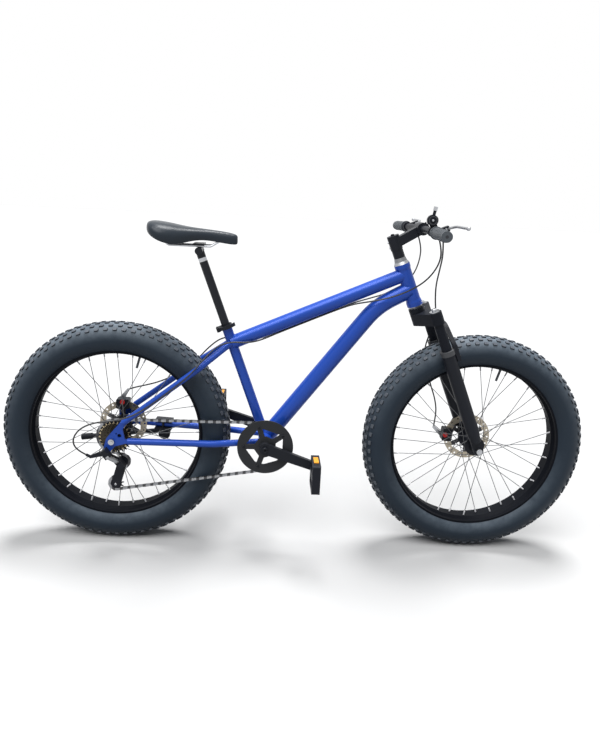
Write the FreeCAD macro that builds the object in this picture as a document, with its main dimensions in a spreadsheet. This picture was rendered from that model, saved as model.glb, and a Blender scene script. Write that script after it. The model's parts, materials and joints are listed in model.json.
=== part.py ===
"""Fat tire bike: rigid frame, short-travel fork, 26 x 4.0 wheels, disc brakes and a 7-speed drive.

Millimetres. +X is forward, +Y the left side, +Z up; the origin lies on the ground midway between the axles.
"""

import FreeCAD, Part
import Sketcher
import math
import os

V = FreeCAD.Vector
ALONG_X = V(1, 0, 0)
ALONG_Y = V(0, 1, 0)
ALONG_Z = V(0, 0, 1)
RIGHT = -1
LEFT = 1

# Driving sizes, in millimetres and degrees. Heights are above the ground, reaches from the rear axle
SIZES = {
    # General fits
    "overrun": 2.0,
    "press_fit": 0.02,
    "running_fit": 0.08,
    "free_gap": 0.3,
    # Wheels and their places
    "wheelbase": 1194.0,
    "tyre_radius": 374.0,
    "tyre_section": 51.0,
    "tyre_wall": 4.5,
    "tube_wall": 1.5,
    "tread_height": 4.0,
    "tread_rib_inner": 2.5,
    "tread_rib_outer": 11.0,
    "tread_shoulder_inner": 16.0,
    "tread_shoulder_outer": 25.0,
    "tread_shoulder_drop": 5.5,
    "bead_radius": 280.5,
    "valve_radius": 3.9,
    "valve_length": 46.0,
    "valve_tilt": 15.5,
    # Rim section
    "rim_half_width": 37.3,
    "rim_flange_radius": 283.0,
    "rim_flange_width": 2.0,
    "rim_seat_radius": 279.5,
    "rim_seat_half": 24.0,
    "rim_channel_half": 14.0,
    "rim_channel_depth": 7.5,
    "rim_wall": 3.0,
    # Spokes
    "spoke_radius": 1.1,
    "nipple_radius": 2.4,
    "nipple_length": 14.0,
    "nipple_gap": 0.7,
    "spoke_rim_offset": 7.0,
    "spoke_weave": 2.6,
    # Hubs
    "flange_radius": 33.0,
    "flange_half": 2.0,
    "hub_shell_radius": 19.0,
    "hub_end_radius": 13.0,
    "axle_radius": 5.0,
    "rear_right_flange": 34.0,
    "rear_left_flange": 50.0,
    "rear_hub_right": 82.0,
    "rear_hub_left": 82.0,
    "freewheel_seat_radius": 16.0,
    "freewheel_seat_start": 43.0,
    "freewheel_seat_end": 79.5,
    "front_flange": 36.0,
    "front_hub_half": 66.5,
    # Brake discs
    "disc_radius": 80.0,
    "disc_carrier_radius": 30.0,
    "disc_bore_radius": 19.5,
    "disc_half": 0.9,
    "disc_window_inner_half": 9.0,
    "disc_window_outer_half": 25.0,
    "disc_window_reach": 58.0,
    "disc_hole_radius": 3.2,
    "disc_hole_inset": 7.5,
    "disc_shoulder_radius": 24.0,
    "rear_disc_offset": 70.0,
    "front_disc_offset": 51.0,
    # Head tube, headset and steering axis
    "head_tilt": 22.5,
    "fork_offset": 39.0,
    "axle_to_head": 520.0,
    "head_length": 143.0,
    "head_radius": 23.5,
    "head_flare_radius": 25.5,
    "head_flare_length": 13.0,
    "head_flare_run": 8.0,
    "head_bore_radius": 17.0,
    "steerer_radius": 14.3,
    "steerer_wall": 2.5,
    "cup_height": 9.0,
    "cup_tip_radius": 20.5,
    # Seat tube, post and clamp
    "bracket_reach": 491.0,
    "bracket_height": 366.0,
    "seat_tilt": 20.5,
    "seat_tube_length": 408.0,
    "seat_tube_radius": 16.5,
    "post_radius": 13.6,
    "post_wall": 2.2,
    "post_top": 662.0,
    "post_insert": 112.0,
    "clamp_height": 15.0,
    "clamp_wall": 3.6,
    "clamp_drop": 12.0,
    "clamp_ear_length": 13.0,
    "clamp_ear_half": 8.5,
    "clamp_slit_half": 1.2,
    "clamp_shelf": 2.7,
    "clamp_pin_radius": 3.0,
    "clamp_pin_turn": 212.0,
    "quick_lever_gap": 7.0,
    "quick_lever_width": 5.0,
    "quick_lever_height": 11.0,
    "quick_lever_sweep": 132.0,
    "quick_lever_boss_radius": 6.5,
    # Top tube and down tube
    "top_tube_radius": 22.5,
    "top_tube_drop": 61.0,
    "top_tube_head_drop": 36.6,
    "main_tube_wall": 2.0,
    "down_tube_radius": 27.0,
    "down_tube_angle": 53.5,
    "down_tube_run": 578.0,
    "down_tube_head_rise": 54.0,
    "down_tube_bend": 250.0,
    # Bottom bracket and cranks
    "shell_radius": 24.0,
    "shell_bore_radius": 18.0,
    "shell_half": 50.0,
    "cup_flange": 6.0,
    "cup_radius": 21.0,
    "spindle_radius": 8.5,
    "spindle_half": 90.0,
    "crank_length": 170.0,
    "crank_tilt": 19.0,
    "crank_boss_radius": 19.0,
    "crank_boss_inner": 63.0,
    "crank_inner": 87.0,
    "crank_outer": 101.0,
    "crank_root_radius": 18.0,
    "crank_eye_radius": 14.0,
    "pedal_axle_radius": 6.5,
    # Chain and toothed wheels
    "chain_pitch": 12.7,
    "roller_radius": 3.85,
    "roller_half": 1.25,
    "plate_thickness": 0.9,
    "plate_radius": 4.1,
    "plate_gap": 0.2,
    "pin_radius": 1.7,
    "pin_head": 0.4,
    "tooth_clearance": 0.25,
    "tooth_height": 3.0,
    "tooth_thickness": 1.9,
    "ring_offset": 75.0,
    "ring_bore_radius": 62.0,
    "cog_offset": 48.0,
    "cog_spacing": 5.0,
    "cog_carrier_radius": 21.0,
    "guard_radius": 91.0,
    "guard_thickness": 3.0,
    "guard_offset": 79.5,
    "guard_bolt_radius": 5.0,
    "guard_bolt_circle": 69.5,
    "guard_hub_radius": 34.0,
    "guard_window_inner_half": 14.0,
    "guard_window_outer_half": 30.0,
    "guard_window_reach": 56.0,
    # Pedals
    "pedal_centre": 156.0,
    "pedal_half_width": 46.0,
    "pedal_half_length": 47.0,
    "pedal_half_height": 13.0,
    "pedal_rail": 11.0,
    "pedal_barrel_radius": 11.0,
    "reflector_length": 40.0,
    "reflector_height": 15.0,
    "reflector_depth": 3.0,
    # Stays and dropouts
    "dropout_inner": 86.0,
    "dropout_thickness": 7.0,
    "stay_wall": 2.0,
    "chainstay_radius": 11.0,
    "seatstay_radius": 10.0,
    "stay_bend": 160.0,
    "chainstay_start_side": 36.0,
    "chainstay_ring_reach": 406.0,
    "chainstay_ring_side": 52.0,
    "chainstay_tyre_reach": 323.0,
    "chainstay_tyre_side": 70.0,
    "chainstay_end_reach": 50.0,
    "stay_tab_height": 13.0,
    "stay_tab_length": 13.0,
    "seatstay_end_reach": 36.0,
    "seatstay_end_rise": 62.0,
    "seatstay_bend_reach": 271.0,
    "seatstay_bend_rise": 244.0,
    "seatstay_bend_side": 68.0,
    "seatstay_top_reach": 366.0,
    "seatstay_top_rise": 318.0,
    "seatstay_top_side": 19.0,
    "dropout_eye_radius": 19.0,
    "dropout_window_radius": 6.5,
    "eyelet_radius": 2.6,
    "eyelet_rise": 30.0,
    "axle_half_rear": 105.0,
    "axle_half_front": 89.0,
    "axle_nut_radius": 9.5,
    "axle_nut_length": 9.0,
    # Rear derailleur
    "hanger_reach": 17.0,
    "hanger_drop": 33.0,
    "hanger_eye_radius": 11.0,
    "hanger_bolt_radius": 5.0,
    "cable_stop_radius": 4.5,
    "cable_stop_length": 16.0,
    "cable_stop_arm": 6.0,
    "link_tilt": 52.0,
    "link_outer_side": 114.5,
    "link_length": 52.0,
    "link_reach": 40.0,
    "link_width": 8.0,
    "link_half_height": 6.0,
    "link_spread": 16.0,
    "link_pin_radius": 1.8,
    "knuckle_offset": 14.0,
    "knuckle_back": 11.0,
    "knuckle_ear": 3.0,
    "knuckle_margin": 5.5,
    "cage_length": 82.0,
    "cage_half": 6.0,
    "cage_plate": 1.6,
    "cage_radius": 15.0,
    "pulley_bolt_radius": 2.5,
    "pulley_hub_radius": 7.0,
    "pulley_half": 5.7,
    "cage_tilt": 20.6,
    "cage_pin_radius": 4.0,
    # Calipers
    "caliper_half_length": 22.0,
    "caliper_inner": 14.0,
    "caliper_outer": 16.0,
    "caliper_depth": 34.0,
    "caliper_slot": 4.4,
    "caliper_bridge": 9.0,
    "caliper_slot_margin": 2.0,
    "front_caliper_turn": 85.0,
    "knob_radius": 8.0,
    "knob_length": 2.5,
    "brake_arm_length": 40.0,
    "brake_arm_radius": 7.0,
    "brake_arm_tip_radius": 5.0,
    "brake_arm_thickness": 4.5,
    "brake_arm_pin": 4.0,
    "brake_arm_pivot": 82.0,
    "brake_arm_aside": 12.0,
    "brake_arm_lean": 37.0,
    # Kickstand
    "stand_reach": 137.0,
    "stand_bracket_length": 58.0,
    "stand_bracket_width": 38.0,
    "stand_bolt_spread": 15.0,
    "stand_lug_length": 16.0,
    "stand_pivot_side": 100.0,
    "stand_pivot_drop": 37.0,
    "stand_lug_radius": 20.0,
    "stand_head": 3.0,
    "stand_plate": 6.0,
    "stand_bolt_radius": 3.5,
    "stand_pin_radius": 7.0,
    "stand_boss_radius": 12.0,
    "stand_boss_length": 20.0,
    "stand_tilt": 18.5,
    "stand_leg_radius": 8.0,
    "stand_leg_length": 300.0,
    "stand_foot_radius": 11.0,
    "stand_foot_length": 38.0,
    "stand_droop": 8.6,
    # Fork
    "leg_spacing": 78.0,
    "stanchion_radius": 16.0,
    "stanchion_wall": 2.0,
    "stanchion_end": 400.0,
    "crown_top": 24.0,
    "crown_height": 40.0,
    "crown_boss_radius": 25.0,
    "crown_socket_radius": 21.0,
    "cap_height": 4.0,
    "leg_radius": 21.5,
    "leg_top": 172.0,
    "leg_bottom": 486.0,
    "leg_bore_depth": 292.0,
    "leg_taper": 40.0,
    "leg_foot_radius": 17.0,
    "leg_tab_inner": 67.5,
    "leg_tab_thickness": 11.0,
    "leg_tab_radius": 16.0,
    "seal_height": 16.0,
    "seal_radius": 23.5,
    "brace_width": 20.0,
    "brace_thickness": 12.0,
    "brace_foot": 200.0,
    "brace_shoulder": 146.0,
    "brace_top": 88.0,
    "brace_top_half": 42.0,
    "brace_bend": 24.0,
    "caliper_lug_thickness": 7.0,
    "caliper_lug_width": 26.0,
    # Stem and handlebar
    "stem_height": 212.0,
    "stem_clamp_height": 40.0,
    "stem_clamp_radius": 19.5,
    "stem_reach": 94.0,
    "bar_height": 227.0,
    "bar_clamp_radius": 20.0,
    "bar_clamp_half": 24.0,
    "stem_neck_height": 30.0,
    "stem_neck_width": 32.0,
    "stem_cap_height": 6.0,
    "spacer_radius": 18.0,
    "cone_height": 12.0,
    "bar_radius": 11.1,
    "bar_wall": 2.4,
    "bar_half": 326.0,
    "bar_straight": 80.0,
    "bar_bend": 180.0,
    "bar_sweep": 3.0,
    "grip_length": 128.0,
    "grip_radius": 15.5,
    "grip_rib_radius": 16.6,
    "grip_flange_radius": 19.0,
    "grip_flange_width": 5.0,
    "grip_cap": 3.0,
    "grip_rib_pitch": 12.0,
    "grip_rib_width": 7.0,
    # Brake levers and shifter, along the bar from its middle
    "lever_grip_gap": 2.0,
    "lever_mount_width": 20.0,
    "lever_mount_wall": 4.4,
    "lever_body_reach": 40.0,
    "lever_body_height": 15.0,
    "lever_pivot_reach": 31.0,
    "lever_pivot_radius": 3.0,
    "lever_slot": 8.6,
    "lever_blade_radius": 4.0,
    "lever_hub_radius": 7.0,
    "lever_bend_reach": 56.0,
    "lever_bend_out": 24.0,
    "lever_tip_reach": 62.0,
    "lever_tip_out": 132.0,
    "lever_bend": 30.0,
    "lever_ball_radius": 6.0,
    "shifter_lever_gap": 18.0,
    "shifter_width": 18.0,
    "shifter_wall": 4.0,
    "shifter_block_width": 8.0,
    "shifter_block_half": 10.0,
    "shifter_drum_radius": 16.0,
    "shifter_drum_width": 13.0,
    "shifter_drum_reach": 8.0,
    "shifter_drum_rise": 33.0,
    "shifter_pin_radius": 4.0,
    "shift_lever_length": 40.0,
    "shift_lever_radius": 4.5,
    "shift_lever_cap_radius": 6.0,
    "shift_lever_cap_length": 12.0,
    "shift_lever_lean": 32.0,
    # Saddle
    "saddle_rear_reach": 98.0,
    "saddle_length": 281.0,
    "saddle_height": 1076.0,
    "saddle_half_width": 84.0,
    "saddle_depth": 46.0,
    "rail_radius": 3.5,
    "rail_half": 22.0,
    "rail_nose_half": 12.0,
    "rail_rear_reach": 138.0,
    "rail_low_reach": 160.0,
    "rail_rise_reach": 296.0,
    "rail_front_reach": 342.0,
    "rail_bend": 16.0,
    "post_clamp_radius": 12.0,
    "post_clamp_half": 30.0,
    "rail_plate_half": 17.0,
    "rail_plate_thickness": 5.0,
    "rail_bolt_radius": 4.0,
    # Cables
    "cable_radius": 2.5,
}

# Counts of things that repeat
RING_TEETH = 40
COG_TEETH = (14, 16, 18, 20, 22, 24, 28)
PULLEY_TEETH = 11
SPOKES_PER_SIDE = 18
SPOKE_CROSS_DEGREES = 62.0
DISC_ARMS = 6
DISC_HOLES = 18
TOOTH_ROOT_SHARE = 0.75
TOOTH_TIP_SHARE = 1.5
CHAIN_EASE_LINKS = 2
CAGE_STEP_DEGREES = 0.5
GUARD_ARMS = 5
# A bend takes at most this share of the shorter of the two runs that meet in it
BEND_SHARE = 0.45

# Saddle sections: place along the length, half width, depth and drop of the top, each as a share
SADDLE_SECTION_SHARES = (
    (0.0, 0.42, 0.34, 0.10),
    (0.06, 0.86, 0.80, 0.03),
    (0.22, 1.0, 1.0, 0.0),
    (0.45, 0.66, 1.0, 0.16),
    (0.68, 0.33, 0.86, 0.42),
    (0.9, 0.25, 0.70, 0.58),
    (1.0, 0.15, 0.36, 0.76),
)
SADDLE_SHOULDER_SHARE = 0.80
SADDLE_BULGE_SHARE = 1.04
SADDLE_WAIST_SHARE = 0.45

# Cable routes, chosen point by point. Each point has its place along a line of anchors, as steps from anchor
# to anchor, and its offset from there forward, to the left and up
SHIFT_ROUTE = (
    (0.0, -1.4, 59.5, -28.9),
    (0.2, 17.3, 24, -15.8),
    (0.5, 22.3, -18.3, 14.8),
    (0.8, 5.3, -46.5, 41.4),
    (1.0, -32, -58, 55.5),
    (1.14, -1.5, -43, 41.3),
    (1.24, -0.4, -33, 33.4),
    (1.33, -0.4, -14, 27.6),
    (1.41, -1.5, -5, 13),
    (1.51, -0.4, -4, -4.9),
    (1.63, 2.9, -4, -25.5),
    (1.74, 0.1, -5, -46.9),
    (1.82, -1.1, -14, -61.6),
    (1.89, -1.3, -31, -59.2),
    (1.97, 2.6, -38, -48.9),
    (2.07, 1.3, -50, -32),
    (2.18, -0.5, -70, -30.8),
    (2.28, 1.4, -88, -35.4),
    (2.41, 1.6, -94, -26.8),
    (2.55, 0.3, -98, -15.4),
    (2.69, -0.9, -103, -1),
    (2.84, 1.3, -112, 28.1),
    (2.99, 1.5, -119, 74.3),
    (3.0, -48, -121, 72),
    (3.0, -93, -120, 50),
    (3.0, -117, -117, 12),
    (3.0, -107, -112, -24),
    (3.0, -77, -108, -41),
)
REAR_BRAKE_ROUTE = (
    (0.0, 2.6, -27.5, -30.9),
    (0.2, 21.3, 0, -17.8),
    (0.5, 24.3, 36.3, 12.8),
    (0.8, 7.3, 57.5, 39.4),
    (1.0, -30, 64, 53.5),
    (1.14, 0.5, 46, 40.3),
    (1.24, 1.6, 34, 32.4),
    (1.33, 1.6, 14, 26.6),
    (1.41, 0.5, 5, 14),
    (1.51, 1.6, 4, -3.9),
    (1.62, -1.2, 4, -25.5),
    (1.74, 2.1, 5, -45.9),
    (1.82, 0.9, 14, -60.6),
    (1.89, 0.7, 31, -58.2),
    (1.96, -1.5, 38, -48.8),
    (2.06, -0.2, 50, -33.7),
    (2.18, -0.5, 70, -28.8),
    (2.28, 1.4, 88, -33.4),
    (2.41, 1.6, 94, -24.8),
    (2.54, 0.9, 98, -8.1),
    (2.68, -0.4, 100, 21.3),
    (2.81, 0.9, 98, 57.9),
    (2.9, 0.2, 95, 84.6),
    (2.97, 1.6, 94, 102.8),
)
FRONT_BRAKE_ROUTE = (
    (0.0, 2.6, 27.5, -30.9),
    (0.2, 15.3, -0, -23.8),
    (0.5, 22.3, -32.3, 2.8),
    (0.8, 33.3, -50.5, 29.4),
    (1.0, 52, -44, 32.5),
    (1.0, 72, 10, -11.5),
    (1.0, 87, 54, -38.5),
    (1.0, 98, 86, -63.5),
    (1.0, 94, 107, -94.5),
    (1.0, 84, 111, -129.5),
    (1.1, 51.5, 107, -116.9),
    (1.2, 27, 98, -110.4),
    (1.4, -8, 84, -63.3),
    (1.6, -41, 78, -15.2),
    (1.7, -48.5, 76, -8.6),
    (1.9, -85.5, 75.5, 44.5),
    (2.0, -109, 75, 56),
    (2.0, -112, 75, 24),
)

doc = FreeCAD.newDocument("FatTireBike")
sheet = doc.addObject("Spreadsheet::Sheet", "sizes")
for row, (alias, number) in enumerate(SIZES.items(), start=1):
    sheet.set(f"A{row}", alias)
    sheet.set(f"B{row}", str(number))
    sheet.setAlias(f"B{row}", alias)
doc.recompute()
nodes = []


def size(alias):
    """The value of one cell of the sheet."""
    return float(sheet.get(alias))


def terms(text):
    """A sum of aliases, such as "a + b - c", as (sign, alias) pairs; "0" stands for no length."""
    sign = 1
    for word in text.split():
        if word in "+-":
            sign = 1 if word == "+" else -1
        elif word != "0":
            yield sign, word


def amount(text):
    """The value of a sum of aliases."""
    return sum(sign * size(alias) for sign, alias in terms(text))


def bound(text):
    """The same sum as an expression on the sheet."""
    words = [f"{'+' if sign > 0 else '-'} sizes.{alias}" for sign, alias in terms(text)]
    return " ".join(words) if words else "0"


def place(base=V(), axis=ALONG_Z, degrees=0.0):
    return FreeCAD.Placement(base, FreeCAD.Rotation(axis, degrees))


def node(label, item):
    """Registers one sub-part under its own label."""
    item.Label = label
    nodes.append(item)
    return item


def shaped(name, shape, where=None):
    item = doc.addObject("Part::Feature", name)
    item.Shape = shape
    if where:
        item.Placement = where
    return item


def group(name, items):
    item = doc.addObject("Part::Compound", name)
    item.Links = items
    return item


def cylinder(name, radius, height, where):
    """A cylinder whose radius is a sum of aliases, and its height such a sum or a length."""
    item = doc.addObject("Part::Cylinder", name)
    item.setExpression("Radius", bound(radius))
    if isinstance(height, str):
        item.setExpression("Height", bound(height))
    else:
        item.Height = height
    item.Placement = where
    return item


def cone(name, low, high, height, where):
    item = doc.addObject("Part::Cone", name)
    item.setExpression("Radius1", bound(low))
    item.setExpression("Radius2", bound(high))
    item.setExpression("Height", bound(height))
    item.Placement = where
    return item


def torus(name, ring, section, where):
    item = doc.addObject("Part::Torus", name)
    item.setExpression("Radius1", bound(ring))
    item.setExpression("Radius2", bound(section))
    item.Placement = where
    return item


def cut(name, base, tool):
    item = doc.addObject("Part::Cut", name)
    item.Base = base
    item.Tool = tool
    return item


def fuse(name, items):
    item = doc.addObject("Part::MultiFuse", name)
    item.Shapes = items
    item.Refine = True
    return item


def through(name, radius, height, where):
    """A cutting cylinder that overruns a bore of this height at both ends."""
    back = where.multiply(place(V(0, 0, -size("overrun"))))
    return cylinder(name, radius, f"{height} + overrun + overrun", back)


def ring(name, outer, bore, height, where):
    """A plain tube or washer standing on its place."""
    blank = cylinder(f"{name}Outer", outer, height, where)
    return cut(name, blank, through(f"{name}Bore", bore, height, where))


def origin_plane(body, role):
    return next(item for item in body.Origin.OriginFeatures if item.Role == role)


def polygon_sketch(body, name, plane, corners):
    """A closed outline of straight sides; each corner is two sums of aliases."""
    sketch = body.newObject("Sketcher::SketchObject", name)
    sketch.AttachmentSupport = [(origin_plane(body, plane), "")]
    sketch.MapMode = "FlatFace"
    points = [V(amount(across), amount(up), 0) for across, up in corners]
    count = len(points)
    for i in range(count):
        sketch.addGeometry(Part.LineSegment(points[i], points[(i + 1) % count]), False)
    for i in range(count):
        sketch.addConstraint(Sketcher.Constraint("Coincident", i, 2, (i + 1) % count, 1))
    for i, (across, up) in enumerate(corners):
        for kind, axis, text, value in (
            ("DistanceX", -2, across, points[i].x),
            ("DistanceY", -1, up, points[i].y),
        ):
            if text == "0":
                sketch.addConstraint(Sketcher.Constraint("PointOnObject", i, 1, axis))
            elif value > 0:
                index = sketch.addConstraint(Sketcher.Constraint(kind, -1, 1, i, 1, value))
                sketch.setExpression(f"Constraints[{index}]", bound(text))
            else:
                index = sketch.addConstraint(Sketcher.Constraint(kind, i, 1, -1, 1, -value))
                sketch.setExpression(f"Constraints[{index}]", f"-({bound(text)})")
    return sketch


def revolved(name, corners, where):
    """A body turned about its own Z axis from corners given as (radius, height)."""
    body = doc.addObject("PartDesign::Body", name)
    sketch = polygon_sketch(body, f"{name}Section", "XZ_Plane", corners)
    turn = body.newObject("PartDesign::Revolution", f"{name}Turn")
    turn.Profile = sketch
    turn.ReferenceAxis = (sketch, ["V_Axis"])
    turn.Angle = 360.0
    body.Tip = turn
    body.Placement = where
    return body


def circle_sketch(body, name, rings):
    """Circles on the body's XY plane: (radius, distance of the centre along X), as sums of aliases."""
    sketch = body.newObject("Sketcher::SketchObject", name)
    sketch.AttachmentSupport = [(origin_plane(body, "XY_Plane"), "")]
    sketch.MapMode = "FlatFace"
    for i, (radius, out) in enumerate(rings):
        sketch.addGeometry(Part.Circle(V(amount(out), 0, 0), ALONG_Z, amount(radius)), False)
        index = sketch.addConstraint(Sketcher.Constraint("Radius", i, amount(radius)))
        sketch.setExpression(f"Constraints[{index}]", bound(radius))
        sketch.addConstraint(Sketcher.Constraint("PointOnObject", i, 3, -1))
        if out == "0":
            sketch.addConstraint(Sketcher.Constraint("PointOnObject", i, 3, -2))
        else:
            index = sketch.addConstraint(Sketcher.Constraint("DistanceX", -1, 1, i, 3, amount(out)))
            sketch.setExpression(f"Constraints[{index}]", bound(out))
    return sketch


def pad(body, name, sketch, length):
    feature = body.newObject("PartDesign::Pad", name)
    feature.Profile = sketch
    feature.setExpression("Length", bound(length))
    body.Tip = feature
    return feature


def patterned_pocket(body, name, sketch, copies):
    """A cut through the whole pad, repeated around the body's Z axis."""
    before = body.Tip
    pocket = body.newObject("PartDesign::Pocket", name)
    pocket.Profile = sketch
    pocket.Type = "ThroughAll"
    pocket.Midplane = True
    doc.recompute()
    assert pocket.Shape.Volume < before.Shape.Volume, f"{name} cuts nothing"
    pattern = body.newObject("PartDesign::PolarPattern", f"{name}Pattern")
    pattern.Originals = [pocket]
    pattern.Axis = (sketch, ["N_Axis"])
    pattern.Angle = 360.0
    pattern.Occurrences = copies
    body.Tip = pattern
    doc.recompute()
    return pattern


def prism(edges, depth):
    """Extrudes a closed outline."""
    return Part.Face(Part.Wire(Part.__sortEdges__(edges))).extrude(depth)


def polygon_prism(points, depth):
    return Part.Face(Part.makePolygon(points + points[:1])).extrude(depth)


def link_outline(start, start_radius, end, end_radius, normal):
    """Two round ends joined by their outer tangents, in the plane of the given normal."""
    axis = (end - start).normalize()
    side = normal.cross(axis)
    span = (end - start).Length
    lean = math.asin((start_radius - end_radius) / span)

    def on_circle(centre, radius, turn):
        return centre + (axis * math.cos(turn) + side * math.sin(turn)) * radius

    tangent = math.pi / 2 - lean
    back = Part.Arc(
        on_circle(start, start_radius, tangent),
        on_circle(start, start_radius, math.pi),
        on_circle(start, start_radius, -tangent),
    )
    front = Part.Arc(
        on_circle(end, end_radius, -tangent),
        on_circle(end, end_radius, 0),
        on_circle(end, end_radius, tangent),
    )
    edges = [back.toShape(), Part.makeLine(back.EndPoint, front.StartPoint)]
    return edges + [front.toShape(), Part.makeLine(front.EndPoint, back.StartPoint)]


def link_bar(start, start_radius, end, end_radius, depth):
    """A flat bar with two round ends, extruded by the given vector."""
    return prism(link_outline(start, start_radius, end, end_radius, V(depth).normalize()), depth)


def rounded_path(points, bend=None):
    """Straight runs joined by tangent arcs, each as large as the bend asked for or as its runs allow."""
    edges = []
    radii = []
    begin = points[0]
    for before, corner, after in zip(points, points[1:], points[2:]):
        inward = (corner - before).normalize()
        outward = (after - corner).normalize()
        turn = inward.getAngle(outward)
        shorter = min((corner - before).Length, (after - corner).Length)
        widest = BEND_SHARE * shorter / math.tan(turn / 2)
        radius = min(bend, widest) if bend else widest
        reach = radius * math.tan(turn / 2)
        centre_way = (outward - inward).normalize()
        middle = corner + centre_way * (radius / math.cos(turn / 2) - radius)
        entry = corner - inward * reach
        leave = corner + outward * reach
        edges.append(Part.LineSegment(begin, entry).toShape())
        edges.append(Part.Arc(entry, middle, leave).toShape())
        radii.append(radius)
        begin = leave
    edges.append(Part.LineSegment(begin, points[-1]).toShape())
    return Part.Wire(edges), radii


def rod_along(points, radius, bend=None):
    """A round rod along a bent path."""
    path, radii = rounded_path(points, bend)
    start = Part.Wire(Part.makeCircle(radius, points[0], points[1] - points[0]))
    rod = path.makePipeShell([start], True, False)
    true_volume = math.pi * radius**2 * path.Length
    assert abs(rod.Volume / true_volume - 1) < 0.02, "a bent rod has the wrong volume"
    return rod, radii


def tube_along(points, radius, wall, bend):
    """A bent tube, open at both ends."""
    outer, _ = rod_along(points, radius, bend)
    inner, _ = rod_along(points, radius - wall, bend)
    return outer.cut(inner)


def post_between(start, end, radius):
    way = end - start
    return Part.makeCylinder(radius, way.Length, start, way)


def stepped_rod(start, end, radius, end_radius, end_length):
    """A thin rod with a thicker end, turned in one piece."""
    length = (end - start).Length
    corners = [
        V(),
        V(radius, 0, 0),
        V(radius, 0, length - end_length),
        V(end_radius, 0, length - end_length),
        V(end_radius, 0, length),
        V(0, 0, length),
    ]
    rod = Part.Face(Part.makePolygon(corners + corners[:1])).revolve(V(), ALONG_Z, 360)
    rod.Placement = FreeCAD.Placement(start, FreeCAD.Rotation(ALONG_Z, end - start))
    return rod


# Key points and directions of the layout
half_base = size("wheelbase") / 2
rear_axle = V(-half_base, 0, size("tyre_radius"))
front_axle = V(half_base, 0, size("tyre_radius"))
bracket = V(size("bracket_reach") - half_base, 0, size("bracket_height"))
lean = math.radians(size("head_tilt"))
steer_up = V(-math.sin(lean), 0, math.cos(lean))
steer_forward = V(math.cos(lean), 0, math.sin(lean))
head_foot = front_axle - steer_forward * size("fork_offset") + steer_up * size("axle_to_head")
seat_lean = math.radians(size("seat_tilt"))
seat_up = V(-math.sin(seat_lean), 0, math.cos(seat_lean))

# Frames that sub-parts are placed in: the fork's Z runs up the steerer, the seat's up the seat tube
fork_frame = place(head_foot, ALONG_Y, -size("head_tilt"))
seat_frame = place(bracket, ALONG_Y, -size("seat_tilt"))


def across(centre, offset):
    """A place whose Z axis points to the left side, at this offset from the centre plane."""
    return place(centre + ALONG_Y * offset, ALONG_X, -90)


def in_fork(forward, side, up):
    """A point of the fork's frame in the part's frame."""
    return fork_frame.multVec(V(forward, side, up))


def tyre(prefix, axle):
    """A hollow casing open at the beads, with tread ribs round its crown."""
    hub = across(axle, 0)
    centre_ring = "tyre_radius - tread_height - tyre_section"
    ribs = [torus(f"{prefix}CasingOuter", centre_ring, "tyre_section", hub)]
    for name, inner, outer, top in (
        ("Crown", "tread_rib_inner", "tread_rib_outer", "tyre_radius"),
        ("Shoulder", "tread_shoulder_inner", "tread_shoulder_outer", "tyre_radius - tread_shoulder_drop"),
    ):
        for side, low in ((LEFT, size(inner)), (RIGHT, -size(outer))):
            end = "Left" if side == LEFT else "Right"
            where = across(axle, low)
            ribs.append(ring(f"{prefix}{name}Rib{end}", top, centre_ring, f"{outer} - {inner}", where))
    casing = cut(
        f"{prefix}Casing",
        fuse(f"{prefix}Tread", ribs),
        torus(f"{prefix}CasingInner", centre_ring, "tyre_section - tyre_wall", hub),
    )
    width = size("tyre_section") * 2
    mouth = across(axle, -width / 2)
    opening = through(f"{prefix}Beads", "bead_radius", "tyre_section + tyre_section", mouth)
    carcass = cut(f"{prefix}Carcass", casing, opening)
    inside = amount("rim_half_width - rim_flange_width - press_fit")
    for end, low in (("Left", inside), ("Right", -width / 2)):
        where = across(axle, low)
        room = cylinder(f"{prefix}Flange{end}", "rim_flange_radius + press_fit", width / 2 - inside, where)
        carcass = cut(f"{prefix}Carcass{end}", carcass, room)
    return node(f"{prefix}_tyre", carcass)


def inner_tube(prefix, axle):
    """A thin-walled ring filling the tyre, with its valve stem through the rim."""
    hub = across(axle, 0)
    centre_ring = "tyre_radius - tread_height - tyre_section"
    section = "tyre_section - tyre_wall - free_gap"
    skin = torus(f"{prefix}TubeSkin", centre_ring, section, hub)
    hollow = torus(f"{prefix}TubeHollow", centre_ring, f"{section} - tube_wall", hub)
    start = amount(centre_ring) - amount(section) + size("tube_wall") / 2
    way = valve_way()
    turn = FreeCAD.Rotation(ALONG_Z, way * -1)
    where = FreeCAD.Placement(axle + way * start, turn)
    stem = cylinder(f"{prefix}Valve", "valve_radius", "valve_length", where)
    shell = cut(f"{prefix}TubeShell", skin, hollow)
    return node(f"{prefix}_inner_tube", fuse(f"{prefix}InnerTube", [shell, stem]))


def valve_way():
    """The direction from the axle to the valve."""
    tilt = math.radians(size("valve_tilt"))
    return V(math.sin(tilt), 0, math.cos(tilt))


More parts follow.
